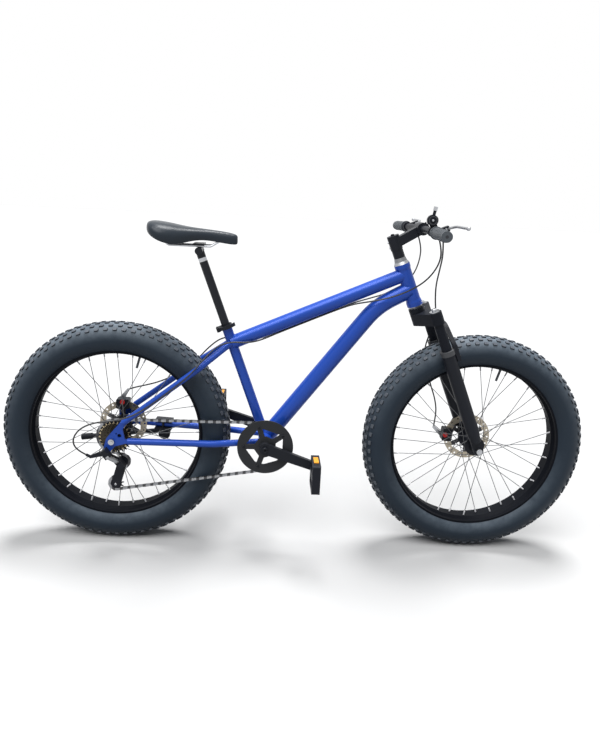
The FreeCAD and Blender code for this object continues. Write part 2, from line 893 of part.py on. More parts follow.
def rim(prefix, axle):
    """A single-wall rim with a drop channel, flanges and a valve hole."""
    edge = "rim_half_width - rim_flange_width"
    low_edge = "- rim_half_width + rim_flange_width"
    channel = "rim_seat_radius - rim_channel_depth"
    under = "rim_seat_radius - rim_wall"
    deep = "rim_seat_radius - rim_channel_depth - rim_wall"
    section = [
        ("rim_flange_radius", "rim_half_width"),
        ("rim_flange_radius", edge),
        ("rim_seat_radius", edge),
        ("rim_seat_radius", "rim_seat_half"),
        (channel, "rim_channel_half"),
        (channel, "- rim_channel_half"),
        ("rim_seat_radius", "- rim_seat_half"),
        ("rim_seat_radius", low_edge),
        ("rim_flange_radius", low_edge),
        ("rim_flange_radius", "- rim_half_width"),
        (under, "- rim_half_width"),
        (under, "- rim_seat_half"),
        (deep, "- rim_channel_half"),
        (deep, "rim_channel_half"),
        (under, "rim_seat_half"),
        (under, "rim_half_width"),
    ]
    band = revolved(f"{prefix}RimBand", section, across(axle, 0))
    way = valve_way()
    start = axle + way * (amount(deep) - size("overrun"))
    depth = "rim_channel_depth + rim_wall + overrun + overrun"
    where = FreeCAD.Placement(start, FreeCAD.Rotation(ALONG_Z, way))
    hole = cylinder(f"{prefix}ValveHole", "valve_radius + free_gap", depth, where)
    return node(f"{prefix}_rim", cut(f"{prefix}Rim", band, hole))


def spokes(prefix, axle, flanges):
    """Crossed spokes with their nipples; neighbours leave opposite faces of the flange."""
    hub_radius = amount("flange_radius + spoke_radius + free_gap")
    rim_radius = amount("rim_seat_radius - rim_channel_depth - rim_wall - nipple_gap")
    step = 360.0 / SPOKES_PER_SIDE
    rods = []
    for side, flange in flanges:
        for i in range(SPOKES_PER_SIDE):
            lay = 1 if i % 2 else -1
            out = math.radians(step * i + (step / 2 if side == RIGHT else 0))
            root = out + math.radians(SPOKE_CROSS_DEGREES) * lay
            hub_side = side * flange + lay * size("spoke_weave")
            start = axle + V(math.cos(root) * hub_radius, hub_side, math.sin(root) * hub_radius)
            rim_side = side * size("spoke_rim_offset")
            end = axle + V(math.cos(out) * rim_radius, rim_side, math.sin(out) * rim_radius)
            sizes = size("spoke_radius"), size("nipple_radius"), size("nipple_length")
            rods.append(stepped_rod(start, end, *sizes))
    return node(f"{prefix}_spokes", shaped(f"{prefix}Spokes", Part.makeCompound(rods)))


def hub_section(right, left, disc):
    """The turned outline of a hub, from its right end to its left, up to the right flange's shell."""
    return [
        ("hub_shell_radius", f"- {right} + flange_half"),
        ("hub_shell_radius", f"{left} - flange_half"),
        ("flange_radius", f"{left} - flange_half"),
        ("flange_radius", f"{left} + flange_half"),
        ("disc_shoulder_radius", f"{left} + flange_half"),
        ("disc_shoulder_radius", f"{disc} - disc_half"),
        ("disc_bore_radius - press_fit", f"{disc} - disc_half"),
        ("disc_bore_radius - press_fit", f"{disc} + disc_half"),
        ("hub_end_radius", f"{disc} + disc_half"),
    ]


def rear_hub():
    bore = "axle_radius + running_fit"
    section = [
        (bore, "- rear_hub_right"),
        ("hub_end_radius", "- rear_hub_right"),
        ("hub_end_radius", "- freewheel_seat_end"),
        ("freewheel_seat_radius", "- freewheel_seat_end"),
        ("freewheel_seat_radius", "- freewheel_seat_start"),
        ("hub_shell_radius", "- freewheel_seat_start"),
        ("hub_shell_radius", "- rear_right_flange - flange_half"),
        ("flange_radius", "- rear_right_flange - flange_half"),
        ("flange_radius", "- rear_right_flange + flange_half"),
    ]
    section += hub_section("rear_right_flange", "rear_left_flange", "rear_disc_offset")
    section += [("hub_end_radius", "rear_hub_left"), (bore, "rear_hub_left")]
    return node("rear_hub", revolved("RearHub", section, across(rear_axle, 0)))


def front_hub():
    bore = "axle_radius + running_fit"
    section = [
        (bore, "- front_hub_half"),
        ("hub_end_radius", "- front_hub_half"),
        ("hub_shell_radius", "- front_flange - flange_half"),
        ("flange_radius", "- front_flange - flange_half"),
        ("flange_radius", "- front_flange + flange_half"),
    ]
    section += hub_section("front_flange", "front_flange", "front_disc_offset")
    section += [("hub_end_radius", "front_hub_half"), (bore, "front_hub_half")]
    return node("front_hub", revolved("FrontHub", section, across(front_axle, 0)))


def brake_disc(prefix, axle, offset):
    """A thin disc with open windows between its arms and a drilled band."""
    body = doc.addObject("PartDesign::Body", f"{prefix}Disc")
    plate = circle_sketch(body, f"{prefix}DiscOutline", [("disc_radius", "0"), ("disc_bore_radius", "0")])
    pad(body, f"{prefix}DiscPlate", plate, "disc_half + disc_half")
    window = polygon_sketch(
        body,
        f"{prefix}DiscWindow",
        "XY_Plane",
        [
            ("disc_carrier_radius", "disc_window_inner_half"),
            ("disc_window_reach", "disc_window_outer_half"),
            ("disc_window_reach", "- disc_window_outer_half"),
            ("disc_carrier_radius", "- disc_window_inner_half"),
        ],
    )
    patterned_pocket(body, f"{prefix}DiscWindows", window, DISC_ARMS)
    hole = circle_sketch(body, f"{prefix}DiscHole", [("disc_hole_radius", "disc_radius - disc_hole_inset")])
    patterned_pocket(body, f"{prefix}DiscHoles", hole, DISC_HOLES)
    body.Placement = across(axle, amount(f"{offset} - disc_half"))
    return node(f"{prefix}_brake_disc", body)


def head_tube():
    flare_end = "head_flare_length + head_flare_run"
    section = [
        ("head_bore_radius", "0"),
        ("head_flare_radius", "0"),
        ("head_flare_radius", "head_flare_length"),
        ("head_radius", flare_end),
        ("head_radius", "head_length - head_flare_length - head_flare_run"),
        ("head_flare_radius", "head_length - head_flare_length"),
        ("head_flare_radius", "head_length"),
        ("head_bore_radius", "head_length"),
    ]
    return node("head_tube", revolved("HeadTube", section, fork_frame))


def headset():
    """Two bearing cups, one at each end of the head tube, that the steerer turns in."""
    bore = "steerer_radius + running_fit"
    low = fork_frame.multiply(place(V(0, 0, -size("cup_height"))))
    high = fork_frame.multiply(place(V(0, 0, size("head_length"))))
    lower = cone("LowerCupBody", "cup_tip_radius", "head_flare_radius", "cup_height", low)
    upper = cone("UpperCupBody", "head_flare_radius", "cup_tip_radius", "cup_height", high)
    cups = [
        cut("LowerCup", lower, through("LowerCupBore", bore, "cup_height", low)),
        cut("UpperCup", upper, through("UpperCupBore", bore, "cup_height", high)),
    ]
    return node("headset", group("Headset", cups))


def seat_axis(distance):
    return bracket + seat_up * distance


def head_axis(distance):
    return head_foot + steer_up * distance


def seat_tube_blank(radius):
    """The space that the seat tube fills, for coping what meets it."""
    return Part.makeCylinder(radius, size("seat_tube_length"), bracket, seat_up)


def head_tube_blank():
    """The space that the head tube fills, with its flared ends."""
    blank = Part.makeCylinder(size("head_radius"), size("head_length"), head_foot, steer_up)
    wide = size("head_flare_radius")
    for end, inwards in ((head_foot, steer_up), (head_axis(size("head_length")), steer_up * -1)):
        collar = Part.makeCylinder(wide, size("head_flare_length"), end, inwards)
        start = end + inwards * size("head_flare_length")
        taper = Part.makeCone(wide, size("head_radius"), size("head_flare_run"), start, inwards)
        blank = blank.fuse([collar, taper])
    return blank


def shell_blank():
    """The space that the bottom bracket's shell and cups fill."""
    half = size("shell_half")
    shell = Part.makeCylinder(size("shell_radius"), half * 2, bracket - ALONG_Y * half, ALONG_Y)
    half += size("cup_flange")
    return shell.fuse(Part.makeCylinder(size("cup_radius"), half * 2, bracket - ALONG_Y * half, ALONG_Y))


def top_tube():
    start = seat_axis(amount("seat_tube_length - top_tube_drop"))
    end = head_axis(amount("head_length - top_tube_head_drop"))
    radius = size("top_tube_radius")
    tube = post_between(start, end, radius).cut(post_between(start, end, radius - size("main_tube_wall")))
    tube = tube.cut([seat_tube_blank(size("seat_tube_radius")), head_tube_blank()])
    return node("top_tube", shaped("TopTube", largest(tube)))


def down_tube():
    angle = math.radians(size("down_tube_angle"))
    bend_point = bracket + V(math.cos(angle), 0, math.sin(angle)) * size("down_tube_run")
    route = [bracket, bend_point, head_axis(size("down_tube_head_rise"))]
    tube = tube_along(route, size("down_tube_radius"), size("main_tube_wall"), size("down_tube_bend"))
    coping = [shell_blank(), seat_tube_blank(size("seat_tube_radius")), head_tube_blank()]
    return node("down_tube", shaped("DownTube", largest(tube.cut(coping))))


def largest(shape):
    """The piece that stays when coping has cut off the ends."""
    return max(shape.Solids, key=lambda solid: solid.Volume)


def seat_tube():
    tube = seat_tube_blank(size("seat_tube_radius"))
    bore = amount("post_radius + running_fit")
    hollow = Part.makeCylinder(bore, amount("seat_tube_length + overrun"), bracket, seat_up)
    return node("seat_tube", shaped("SeatTube", largest(tube.cut([hollow, shell_blank()]))))


def bottom_bracket():
    half = size("shell_half")
    where = across(bracket, -half)
    shell = ring("Shell", "shell_radius", "shell_bore_radius", "shell_half + shell_half", where)
    bore = "spindle_radius + running_fit"
    cups = []
    for side, name in ((LEFT, "Left"), (RIGHT, "Right")):
        low = half if side == LEFT else -half - size("cup_flange")
        cups.append(ring(f"{name}BearingCup", "cup_radius", bore, "cup_flange", across(bracket, low)))
    return node("bottom_bracket", group("BottomBracket", [shell] + cups))


def chainstays():
    """Two tubes that pass between the tyre and the chainring and flare to the dropouts."""
    middle = amount("dropout_inner") + size("dropout_thickness") / 2
    tubes = []
    for side in (RIGHT, LEFT):
        route = [
            V(bracket.x, side * size("chainstay_start_side"), bracket.z),
            stay_point("chainstay_ring_reach", side * size("chainstay_ring_side"), bracket.z),
            stay_point("chainstay_tyre_reach", side * size("chainstay_tyre_side"), bracket.z),
            stay_point("chainstay_end_reach", side * middle, rear_axle.z),
        ]
        tube = tube_along(route, size("chainstay_radius"), size("stay_wall"), size("stay_bend"))
        tubes.append(largest(tube.cut([shell_blank(), dropout_plate(side)])))
    return node("chainstays", shaped("Chainstays", Part.makeCompound(tubes)))


def stay_point(reach, side, height):
    return V(rear_axle.x + size(reach), side, height)


def seatstay_route(side):
    middle = amount("dropout_inner") + size("dropout_thickness") / 2
    bend = side * size("seatstay_bend_side")
    top = side * size("seatstay_top_side")
    base = rear_axle.z
    return [
        stay_point("seatstay_end_reach", side * middle, base + size("seatstay_end_rise")),
        stay_point("seatstay_bend_reach", bend, base + size("seatstay_bend_rise")),
        stay_point("seatstay_top_reach", top, base + size("seatstay_top_rise")),
    ]


def seatstays():
    tubes = []
    for side in (RIGHT, LEFT):
        radius = size("seatstay_radius")
        tube = tube_along(seatstay_route(side), radius, size("stay_wall"), size("stay_bend"))
        coping = [seat_tube_blank(size("seat_tube_radius")), dropout_plate(side)]
        tubes.append(largest(tube.cut(coping)))
    return node("seatstays", shaped("Seatstays", Part.makeCompound(tubes)))


def dropout_plate(side):
    """A plate that joins the stays round the axle; the right one carries the derailleur hanger."""
    eye = size("dropout_eye_radius")
    tab = size("stay_tab_height") / 2
    low = size("dropout_inner") if side == LEFT else -amount("dropout_inner + dropout_thickness")
    deep = ALONG_Y * size("dropout_thickness")
    axle = rear_axle + ALONG_Y * low
    chain_end = axle + V(amount("chainstay_end_reach + stay_tab_length"), 0, 0)
    lower, bend, _ = seatstay_route(side)
    way = V(bend.x - lower.x, 0, bend.z - lower.z).normalize()
    seat_end = V(lower.x, low, lower.z) + way * size("stay_tab_length")
    plate = link_bar(axle, eye, axle + V(size("chainstay_end_reach") - tab, 0, 0), tab, deep)
    plate = plate.fuse(link_bar(axle, eye, V(lower.x, low, lower.z) - way * tab, tab, deep))
    plate = plate.fuse(strip(axle, chain_end, tab, deep)).fuse(strip(axle, seat_end, tab, deep))
    web = [axle, axle + V(size("chainstay_end_reach") - tab, 0, 0), V(lower.x, low, lower.z) - way * tab]
    plate = plate.fuse(polygon_prism(web, deep))
    window = (web[0] + web[1] + web[2]) * (1 / len(web))
    plate = plate.cut(hole_across(window, size("dropout_window_radius")))
    if side == RIGHT:
        plate = plate.fuse(link_bar(axle, eye, hanger() + ALONG_Y * low, size("hanger_eye_radius"), deep))
        plate = plate.cut(hole_across(hanger(), amount("hanger_bolt_radius + press_fit")))
    else:
        plate = plate.fuse(link_bar(axle, eye, rear_caliper_seat() + ALONG_Y * low, eye, deep))
    plate = plate.cut(hole_across(rear_axle, amount("axle_radius + press_fit")))
    rise = (V(lower.x, 0, lower.z) - rear_axle).normalize() * size("eyelet_rise")
    return plate.cut(hole_across(rear_axle + rise, size("eyelet_radius"))).removeSplitter()


def dropouts():
    plates = [dropout_plate(side) for side in (RIGHT, LEFT)]
    return node("dropouts", shaped("Dropouts", Part.makeCompound(plates)))


def strip(start, end, half, deep):
    """A straight flat bar from one point to another."""
    way = (end - start).normalize()
    side = way.cross(V(deep).normalize()) * half
    return polygon_prism([start - side, end - side, end + side, start + side], deep)


def hole_across(centre, radius):
    """A cutting cylinder along Y through the whole width of the bike."""
    half = amount("axle_half_rear + overrun")
    return Part.makeCylinder(radius, half * 2, V(centre.x, -half, centre.z), ALONG_Y)


def hanger():
    return rear_axle + V(-size("hanger_reach"), 0, -size("hanger_drop"))


def rear_caliper_seat():
    return rear_axle + V(0, 0, amount("disc_radius - caliper_half_length"))


def wheel_axle(prefix, centre, half, seat):
    """A threaded axle with a nut outside each dropout."""
    items = [cylinder(f"{prefix}Rod", "axle_radius", f"{half} + {half}", across(centre, -size(half)))]
    for side, name in ((LEFT, "Left"), (RIGHT, "Right")):
        low = seat if side == LEFT else -seat - size("axle_nut_length")
        where = across(centre, low)
        bore = "axle_radius + press_fit"
        items.append(ring(f"{prefix}{name}Nut", "axle_nut_radius", bore, "axle_nut_length", where))
    return node(f"{prefix}_axle", group(f"{prefix}Axle", items))


def caliper_body(offset):
    """A block that straddles the disc, with the axle at the origin and the disc's edge above it."""
    half = size("caliper_half_length")
    low = amount("disc_radius + caliper_bridge - caliper_depth")
    inner = size(offset) - size("caliper_inner")
    thick = amount("caliper_inner + caliper_outer")
    block = Part.makeBox(half * 2, thick, size("caliper_depth"), V(-half, inner, low))
    corners = [edge for edge in block.Edges if is_along(edge, ALONG_Y)]
    block = block.makeFillet(size("caliper_bridge") / 2, corners)
    slot = size("caliper_slot")
    long = half + size("overrun")
    depth = amount("caliper_depth - caliper_bridge + caliper_slot_margin + overrun")
    gap = Part.makeBox(long * 2, slot, depth, V(-long, size(offset) - slot / 2, low - size("overrun")))
    pin_base = V(-size("brake_arm_aside"), size(offset) + size("caliper_outer"), size("brake_arm_pivot"))
    pin_length = amount("free_gap + brake_arm_thickness + free_gap")
    return block.cut(gap).fuse(Part.makeCylinder(size("brake_arm_pin"), pin_length, pin_base, ALONG_Y))


def brake_caliper(prefix, centre, offset, degrees):
    inner = size(offset) - amount("caliper_inner + knob_length")
    foot = V(0, inner, size("disc_radius"))
    knob = Part.makeCylinder(size("knob_radius"), size("knob_length"), foot, ALONG_Y)
    pieces = Part.makeCompound([caliper_body(offset), knob])
    return node(f"{prefix}_caliper", shaped(f"{prefix}Caliper", pieces, place(centre, ALONG_Y, degrees)))


def brake_arm(prefix, centre, offset, degrees):
    """The arm that the cable pulls, turning on the caliper's pin."""
    side = amount(f"{offset} + caliper_outer + free_gap")
    pivot = V(-size("brake_arm_aside"), side, size("brake_arm_pivot"))
    lean_angle = math.radians(size("brake_arm_lean"))
    tip = pivot + V(math.sin(lean_angle), 0, math.cos(lean_angle)) * size("brake_arm_length")
    deep = ALONG_Y * size("brake_arm_thickness")
    arm = link_bar(pivot, size("brake_arm_radius"), tip, size("brake_arm_tip_radius"), deep)
    hole = Part.makeCylinder(amount("brake_arm_pin + running_fit"), deep.Length, pivot, ALONG_Y)
    where = place(centre, ALONG_Y, degrees)
    return node(f"{prefix}_brake_arm", shaped(f"{prefix}BrakeArm", arm.cut(hole), where))


def stand_frame():
    """On the left chainstay's axis where the kickstand is clamped, with X along the stay."""
    middle = amount("dropout_inner") + size("dropout_thickness") / 2
    fore = stay_point("chainstay_tyre_reach", size("chainstay_tyre_side"), bracket.z)
    aft = stay_point("chainstay_end_reach", middle, rear_axle.z)
    share = (size("chainstay_tyre_reach") - size("stand_reach")) / (fore.x - aft.x)
    return FreeCAD.Placement(fore + (aft - fore) * share, FreeCAD.Rotation(ALONG_X, fore - aft))


def stand_axis():
    """The pivot's point and its direction, outwards and up."""
    tilt = math.radians(size("stand_tilt"))
    centre = stand_frame().Base
    pivot = V(centre.x, size("stand_pivot_side"), centre.z - size("stand_pivot_drop"))
    return pivot, V(0, math.cos(tilt), math.sin(tilt))


def kickstand_bracket():
    """Two plates bolted round the chainstay, with the pivot pin under the lower one."""
    length = size("stand_bracket_length")
    width = size("stand_bracket_width")
    thick = size("stand_plate")
    radius = amount("chainstay_radius + press_fit")
    frame = stand_frame()
    plates = []
    for low in (radius, -radius - thick):
        plates.append(Part.makeBox(length, width, thick, V(-length / 2, -width / 2, low)))
    bolts = []
    for side in (1, -1):
        foot = V(0, side * size("stand_bolt_spread"), -radius - thick)
        bolts.append(Part.makeCylinder(size("stand_bolt_radius"), (radius + thick) * 2, foot, ALONG_Z))
    clamp = plates[0].fuse(plates[1:] + bolts)
    clamp.Placement = frame
    pivot, way = stand_axis()
    lug = Part.makeCylinder(size("stand_lug_radius"), size("stand_lug_length"), pivot, way * -1)
    pin_length = amount("stand_boss_length + free_gap + free_gap")
    pin = Part.makeCylinder(size("stand_pin_radius"), pin_length, pivot, way)
    head = Part.makeCylinder(size("stand_boss_radius"), size("stand_head"), pivot + way * pin_length, way)
    return node("kickstand_bracket", shaped("KickstandBracket", clamp.fuse([lug, pin, head])))


def kickstand():
    """The leg, folded back beside the wheel, with a thicker foot."""
    pivot, way = stand_axis()
    inner = pivot + way * size("free_gap")
    length = size("stand_boss_length")
    boss = Part.makeCylinder(size("stand_boss_radius"), length, inner, way)
    back = V(-1, 0, 0)
    up = way.cross(back)
    droop = math.radians(size("stand_droop"))
    along = back * math.cos(droop) - up * math.sin(droop)
    start = inner + way * (length / 2)
    foot = size("stand_foot_radius"), size("stand_foot_length")
    leg = stepped_rod(start, start + along * size("stand_leg_length"), size("stand_leg_radius"), *foot)
    bore = Part.makeCylinder(amount("stand_pin_radius + running_fit"), length, inner, way)
    return node("kickstand", shaped("Kickstand", boss.fuse(leg).cut(bore)))


# The drive: chainring, freewheel, derailleur and chain, laid out in the plane of X and Z


def pitch_radius(teeth):
    return size("chain_pitch") / (2 * math.sin(math.pi / teeth))


def toothed_plate(centre, teeth, bore, phase, thickness):
    """A chain wheel across Y; phase is the angle from X towards Z of one tooth gap."""
    radius = pitch_radius(teeth)
    seat = amount("roller_radius + tooth_clearance")
    high = size("tooth_height")
    root = seat * TOOTH_ROOT_SHARE
    tip = seat * TOOTH_TIP_SHARE
    base = centre - ALONG_Y * (thickness / 2)
    points = []
    for k in range(teeth):
        angle = phase + 2 * math.pi * k / teeth
        out = V(math.cos(angle), 0, math.sin(angle))
        along = V(-math.sin(angle), 0, math.cos(angle))
        middle = base + out * radius
        for shift, rise in ((-tip, high), (-root, -seat), (root, -seat), (tip, high)):
            points.append(middle + along * shift + out * rise)
    plate = polygon_prism(points, ALONG_Y * thickness)
    return plate.cut(Part.makeCylinder(bore, thickness, base, ALONG_Y))


def link_ways():
    """The derailleur links' direction seen from the side, and their pivots' direction."""
    tilt = math.radians(size("link_tilt"))
    return V(math.cos(tilt), 0, -math.sin(tilt)), V(math.sin(tilt), 0, math.cos(tilt))


def link_pivots():
    """The outer link's pivots at the bracket and at the knuckle."""
    along, _ = link_ways()
    start = hanger() + along * size("knuckle_offset") - ALONG_Y * size("link_outer_side")
    swing = math.sqrt(size("link_length") ** 2 - size("link_reach") ** 2)
    return start, start + along * size("link_reach") + ALONG_Y * swing


def guide_centre():
    along, _ = link_ways()
    _, knuckle = link_pivots()
    centre = knuckle + along * size("knuckle_offset")
    return V(centre.x, -size("cog_offset"), centre.z)


def tension_centre(tilt):
    turn = math.radians(tilt)
    return guide_centre() + V(-math.sin(turn), 0, -math.cos(turn)) * size("cage_length")


def chain_wheels(tilt):
    """What the chain runs over, as (centre, pitch radius, turn), with turn +1 from X towards Z."""
    ring_centre = bracket - ALONG_Y * size("ring_offset")
    cog_centre = rear_axle - ALONG_Y * size("cog_offset")
    pulley = pitch_radius(PULLEY_TEETH)
    return [
        (ring_centre, pitch_radius(RING_TEETH), -1),
        (tension_centre(tilt), pulley, -1),
        (guide_centre(), pulley, 1),
        (cog_centre, pitch_radius(COG_TEETH[-1]), -1),
    ]


def chain_spans(tilt):
    """The chain's loop as a list of ("run", start, end) and ("wrap", centre, radius, angle, sweep)."""
    wheels = chain_wheels(tilt)
    runs = []
    for (c1, r1, t1), (c2, r2, t2) in zip(wheels, wheels[1:] + wheels[:1]):
        gap = V(c2.x - c1.x, 0, c2.z - c1.z)
        way = V(gap).normalize()
        off = (t1 * r1 - t2 * r2) / gap.Length
        right = V(way.z, 0, -way.x)
        normal = way * off + right * math.sqrt(1 - off**2)
        runs.append((c1 + normal * (t1 * r1), c2 + normal * (t2 * r2)))
    spans = []
    for i, (centre, radius, turn) in enumerate(wheels):
        arrive = runs[i - 1][1] - centre
        leave = runs[i][0] - centre
        begin = math.atan2(arrive.z, arrive.x)
        sweep = (math.atan2(leave.z, leave.x) - begin) * turn % (2 * math.pi)
        spans.append(("wrap", centre, radius, begin, sweep * turn))
        spans.append(("run", *runs[i]))
    return spans


def span_links(span):
    """How many chain pitches one span holds."""
    if span[0] == "run":
        return (span[2] - span[1]).Length / size("chain_pitch")
    return abs(span[4]) / (2 * math.asin(size("chain_pitch") / 2 / span[2]))


def chain_links(tilt):
    return sum(span_links(span) for span in chain_spans(tilt))


def solved_cage_tilt():
    """The cage tilt nearest the nominal one at which the loop holds an even number of links."""
    nominal = size("cage_tilt")
    links = 2 * round(chain_links(nominal) / 2)
    step = CAGE_STEP_DEGREES
    low = high = nominal
    while (chain_links(low) - links) * (chain_links(high) - links) > 0:
        low -= step
        high += step
    rising = chain_links(high) > chain_links(low)
    for _ in range(60):
        middle = (low + high) / 2
        if (chain_links(middle) > links) == rising:
            high = middle
        else:
            low = middle
    return low, links


cage_turn, chain_count = solved_cage_tilt()


def chain_pins():
    """The places of the chain's pins, one pitch apart round the loop."""
    spans = chain_spans(cage_turn)
    pins = []
    passed = 0.0
    for span in spans:
        held = span_links(span)
        first = math.ceil(passed - 1e-6)
        while first < passed + held - 1e-6:
            share = (first - passed) / held
            if span[0] == "run":
                pin = span[1] + (span[2] - span[1]) * share
                eased = (first - passed - CHAIN_EASE_LINKS) / max(held - 2 * CHAIN_EASE_LINKS, 1)
                pin.y = span[1].y + (span[2].y - span[1].y) * min(max(eased, 0), 1)
                pins.append(pin)
            else:
                _, centre, radius, begin, sweep = span
                angle = begin + sweep * share
                pins.append(centre + V(math.cos(angle), 0, math.sin(angle)) * radius)
            first += 1
        passed += held
    return pins[:chain_count]


def wheel_phase(index):
    """The angle of the first chain pin on one of the chain's wheels."""
    spans = chain_spans(cage_turn)
    passed = sum(span_links(span) for span in spans[: 2 * index])
    _, _, _, begin, sweep = spans[2 * index]
    share = (math.ceil(passed - 1e-6) - passed) / span_links(spans[2 * index])
    return begin + sweep * share


def chain():
    """Inner and outer links by turns: plates, rollers and pins."""
    pitch = size("chain_pitch")
    thick = size("plate_thickness")
    inner_face = size("roller_half")
    outer_face = inner_face + thick + size("plate_gap")
    ends = V(-pitch / 2, 0, 0), V(pitch / 2, 0, 0)

    def plates(face):
        for low in (face, -face - thick):
            lift = ALONG_Y * low
            radius = size("plate_radius")
            yield link_bar(ends[0] + lift, radius, ends[1] + lift, radius, ALONG_Y * thick)

    def crossing(radius, half):
        return [Part.makeCylinder(radius, half * 2, end - ALONG_Y * half, ALONG_Y) for end in ends]

    inner = list(plates(inner_face))
    inner_link = inner[0].fuse(inner[1:] + crossing(size("roller_radius"), inner_face))
    inner_link = inner_link.cut(crossing(amount("pin_radius + running_fit"), inner_face + thick))
    outer = list(plates(outer_face))
    pin_half = outer_face + thick + size("pin_head")
    outer_link = outer[0].fuse(outer[1:] + crossing(size("pin_radius"), pin_half))
    pins = chain_pins()
    links = []
    for i, pin in enumerate(pins):
        after = pins[(i + 1) % len(pins)]
        along = (after - pin).normalize()
        link = (outer_link if i % 2 else inner_link).copy()
        turn = FreeCAD.Rotation(along, ALONG_Y, V(), "XYZ")
        link.Placement = FreeCAD.Placement((pin + after) / 2, turn)
        links.append(link)
    return node("chain", shaped("Chain", Part.makeCompound(links)))


def freewheel():
    """Seven cogs on one carrier that turns on the rear hub."""
    thick = size("tooth_thickness")
    carrier_radius = size("cog_carrier_radius")
    pieces = []
    largest_first = list(reversed(COG_TEETH))
    for i, teeth in enumerate(largest_first):
        side = size("cog_offset") + i * size("cog_spacing")
        centre = rear_axle - ALONG_Y * side
        pieces.append(toothed_plate(centre, teeth, carrier_radius, wheel_phase(3), thick))
    start = amount("freewheel_seat_start + free_gap")
    end = size("freewheel_seat_end")
    foot = rear_axle - ALONG_Y * end
    carrier = Part.makeCylinder(carrier_radius - size("press_fit"), end - start, foot, ALONG_Y)
    bore = Part.makeCylinder(amount("freewheel_seat_radius + running_fit"), end - start, foot, ALONG_Y)
    return node("freewheel", shaped("Freewheel", Part.makeCompound(pieces + [carrier.cut(bore)])))


def slab(origin, along, over, ranges):
    """A box with edges along a direction, along Y and along a third direction, given as three ranges."""
    (a0, a1), (b0, b1), (c0, c1) = ranges
    base = origin + along * a0 + ALONG_Y * b0 + over * c0
    corners = [base, base + along * (a1 - a0)]
    corners += [corners[1] + ALONG_Y * (b1 - b0), base + ALONG_Y * (b1 - b0)]
    return polygon_prism(corners, over * (c1 - c0))


def link_pin(pivot, radius, half):
    _, over = link_ways()
    return Part.makeCylinder(radius, half * 2, pivot - over * half, over)


def knuckle(pivot, facing):
    """A clevis for both links: a web behind the pivots, on the facing side, two ears and two pins."""
    along, over = link_ways()
    back = along * facing
    inner = amount("link_half_height + free_gap")
    outer = inner + size("knuckle_ear")
    margin = size("knuckle_margin")
    near = size("link_width") / 2 + size("press_fit") + size("free_gap")
    far = amount("knuckle_offset + knuckle_back")
    width = (-margin, size("link_spread") + margin)
    pieces = [slab(pivot, back, over, ((near, far), width, (-outer, outer)))]
    for low in (inner, -outer):
        ear = ((-margin, far), width, (low, low + size("knuckle_ear")))
        pieces.append(slab(pivot, back, over, ear))
    for shift in (0, size("link_spread")):
        pieces.append(link_pin(pivot + ALONG_Y * shift, size("link_pin_radius"), outer))
    return pieces[0].fuse(pieces[1:])


def cable_stop():
    """An arm from the hanger bolt back to a barrel that the shift cable ends in."""
    before, end = (rear_axle + V(*point[1:]) for point in SHIFT_ROUTE[-2:])
    way = (end - before).normalize()
    radius = size("cable_stop_radius")
    foot = end + way * size("cable_stop_length")
    barrel = Part.makeCylinder(radius, size("cable_stop_length"), end, way)
    thick = size("cable_stop_arm")
    side = ALONG_Y * (foot.y - thick / 2)
    bolt = V(hanger().x, 0, hanger().z) + side
    eye = amount("hanger_bolt_radius + cable_stop_radius")
    arm = link_bar(bolt, eye, V(foot.x, 0, foot.z) + side, radius, ALONG_Y * thick)
    return arm.fuse(barrel)


def derailleur_bracket():
    """The knuckle that the hanger bolt holds, with the cable's stop."""
    start, _ = link_pivots()
    bolt_foot = hanger() - ALONG_Y * (size("link_outer_side"))
    bolt_length = size("link_outer_side") - size("dropout_inner")
    bolt = Part.makeCylinder(size("hanger_bolt_radius"), bolt_length, bolt_foot, ALONG_Y)
    body = knuckle(start, -1).fuse([bolt, cable_stop()])
    return node("derailleur_bracket", shaped("DerailleurBracket", body))


def derailleur_link(name, shift):
    """One of the two parallel links between the bracket and the knuckle."""
    start, end = link_pivots()
    _, over = link_ways()
    half = size("link_half_height")
    radius = size("link_width") / 2
    move = ALONG_Y * shift - over * half
    bar = link_bar(start + move, radius, end + move, radius, over * (half * 2))
    bore = amount("link_pin_radius + running_fit")
    holes = [link_pin(pivot + ALONG_Y * shift, bore, half) for pivot in (start, end)]
    return node(f"derailleur_link_{name}", shaped(f"DerailleurLink{name.title()}", bar.cut(holes)))


def cage_outer():
    """The outer face of the cage, along Y."""
    return -amount("cog_offset + cage_half + cage_plate")


def derailleur_knuckle():
    """The knuckle that carries the cage on its inner side."""
    _, end = link_pivots()
    body = knuckle(end, 1)
    centre = guide_centre()
    face = end.y + amount("link_spread + knuckle_margin")
    foot = V(centre.x, face, centre.z)
    boss_length = cage_outer() - size("free_gap") - face
    boss = Part.makeCylinder(size("pulley_hub_radius"), boss_length, foot, ALONG_Y)
    depth = size("link_spread")
    bore_foot = V(centre.x, cage_outer() - depth, centre.z)
    bore = Part.makeCylinder(amount("cage_pin_radius + running_fit"), depth, bore_foot, ALONG_Y)
    return node("derailleur_knuckle", shaped("DerailleurKnuckle", body.fuse(boss).cut(bore)))


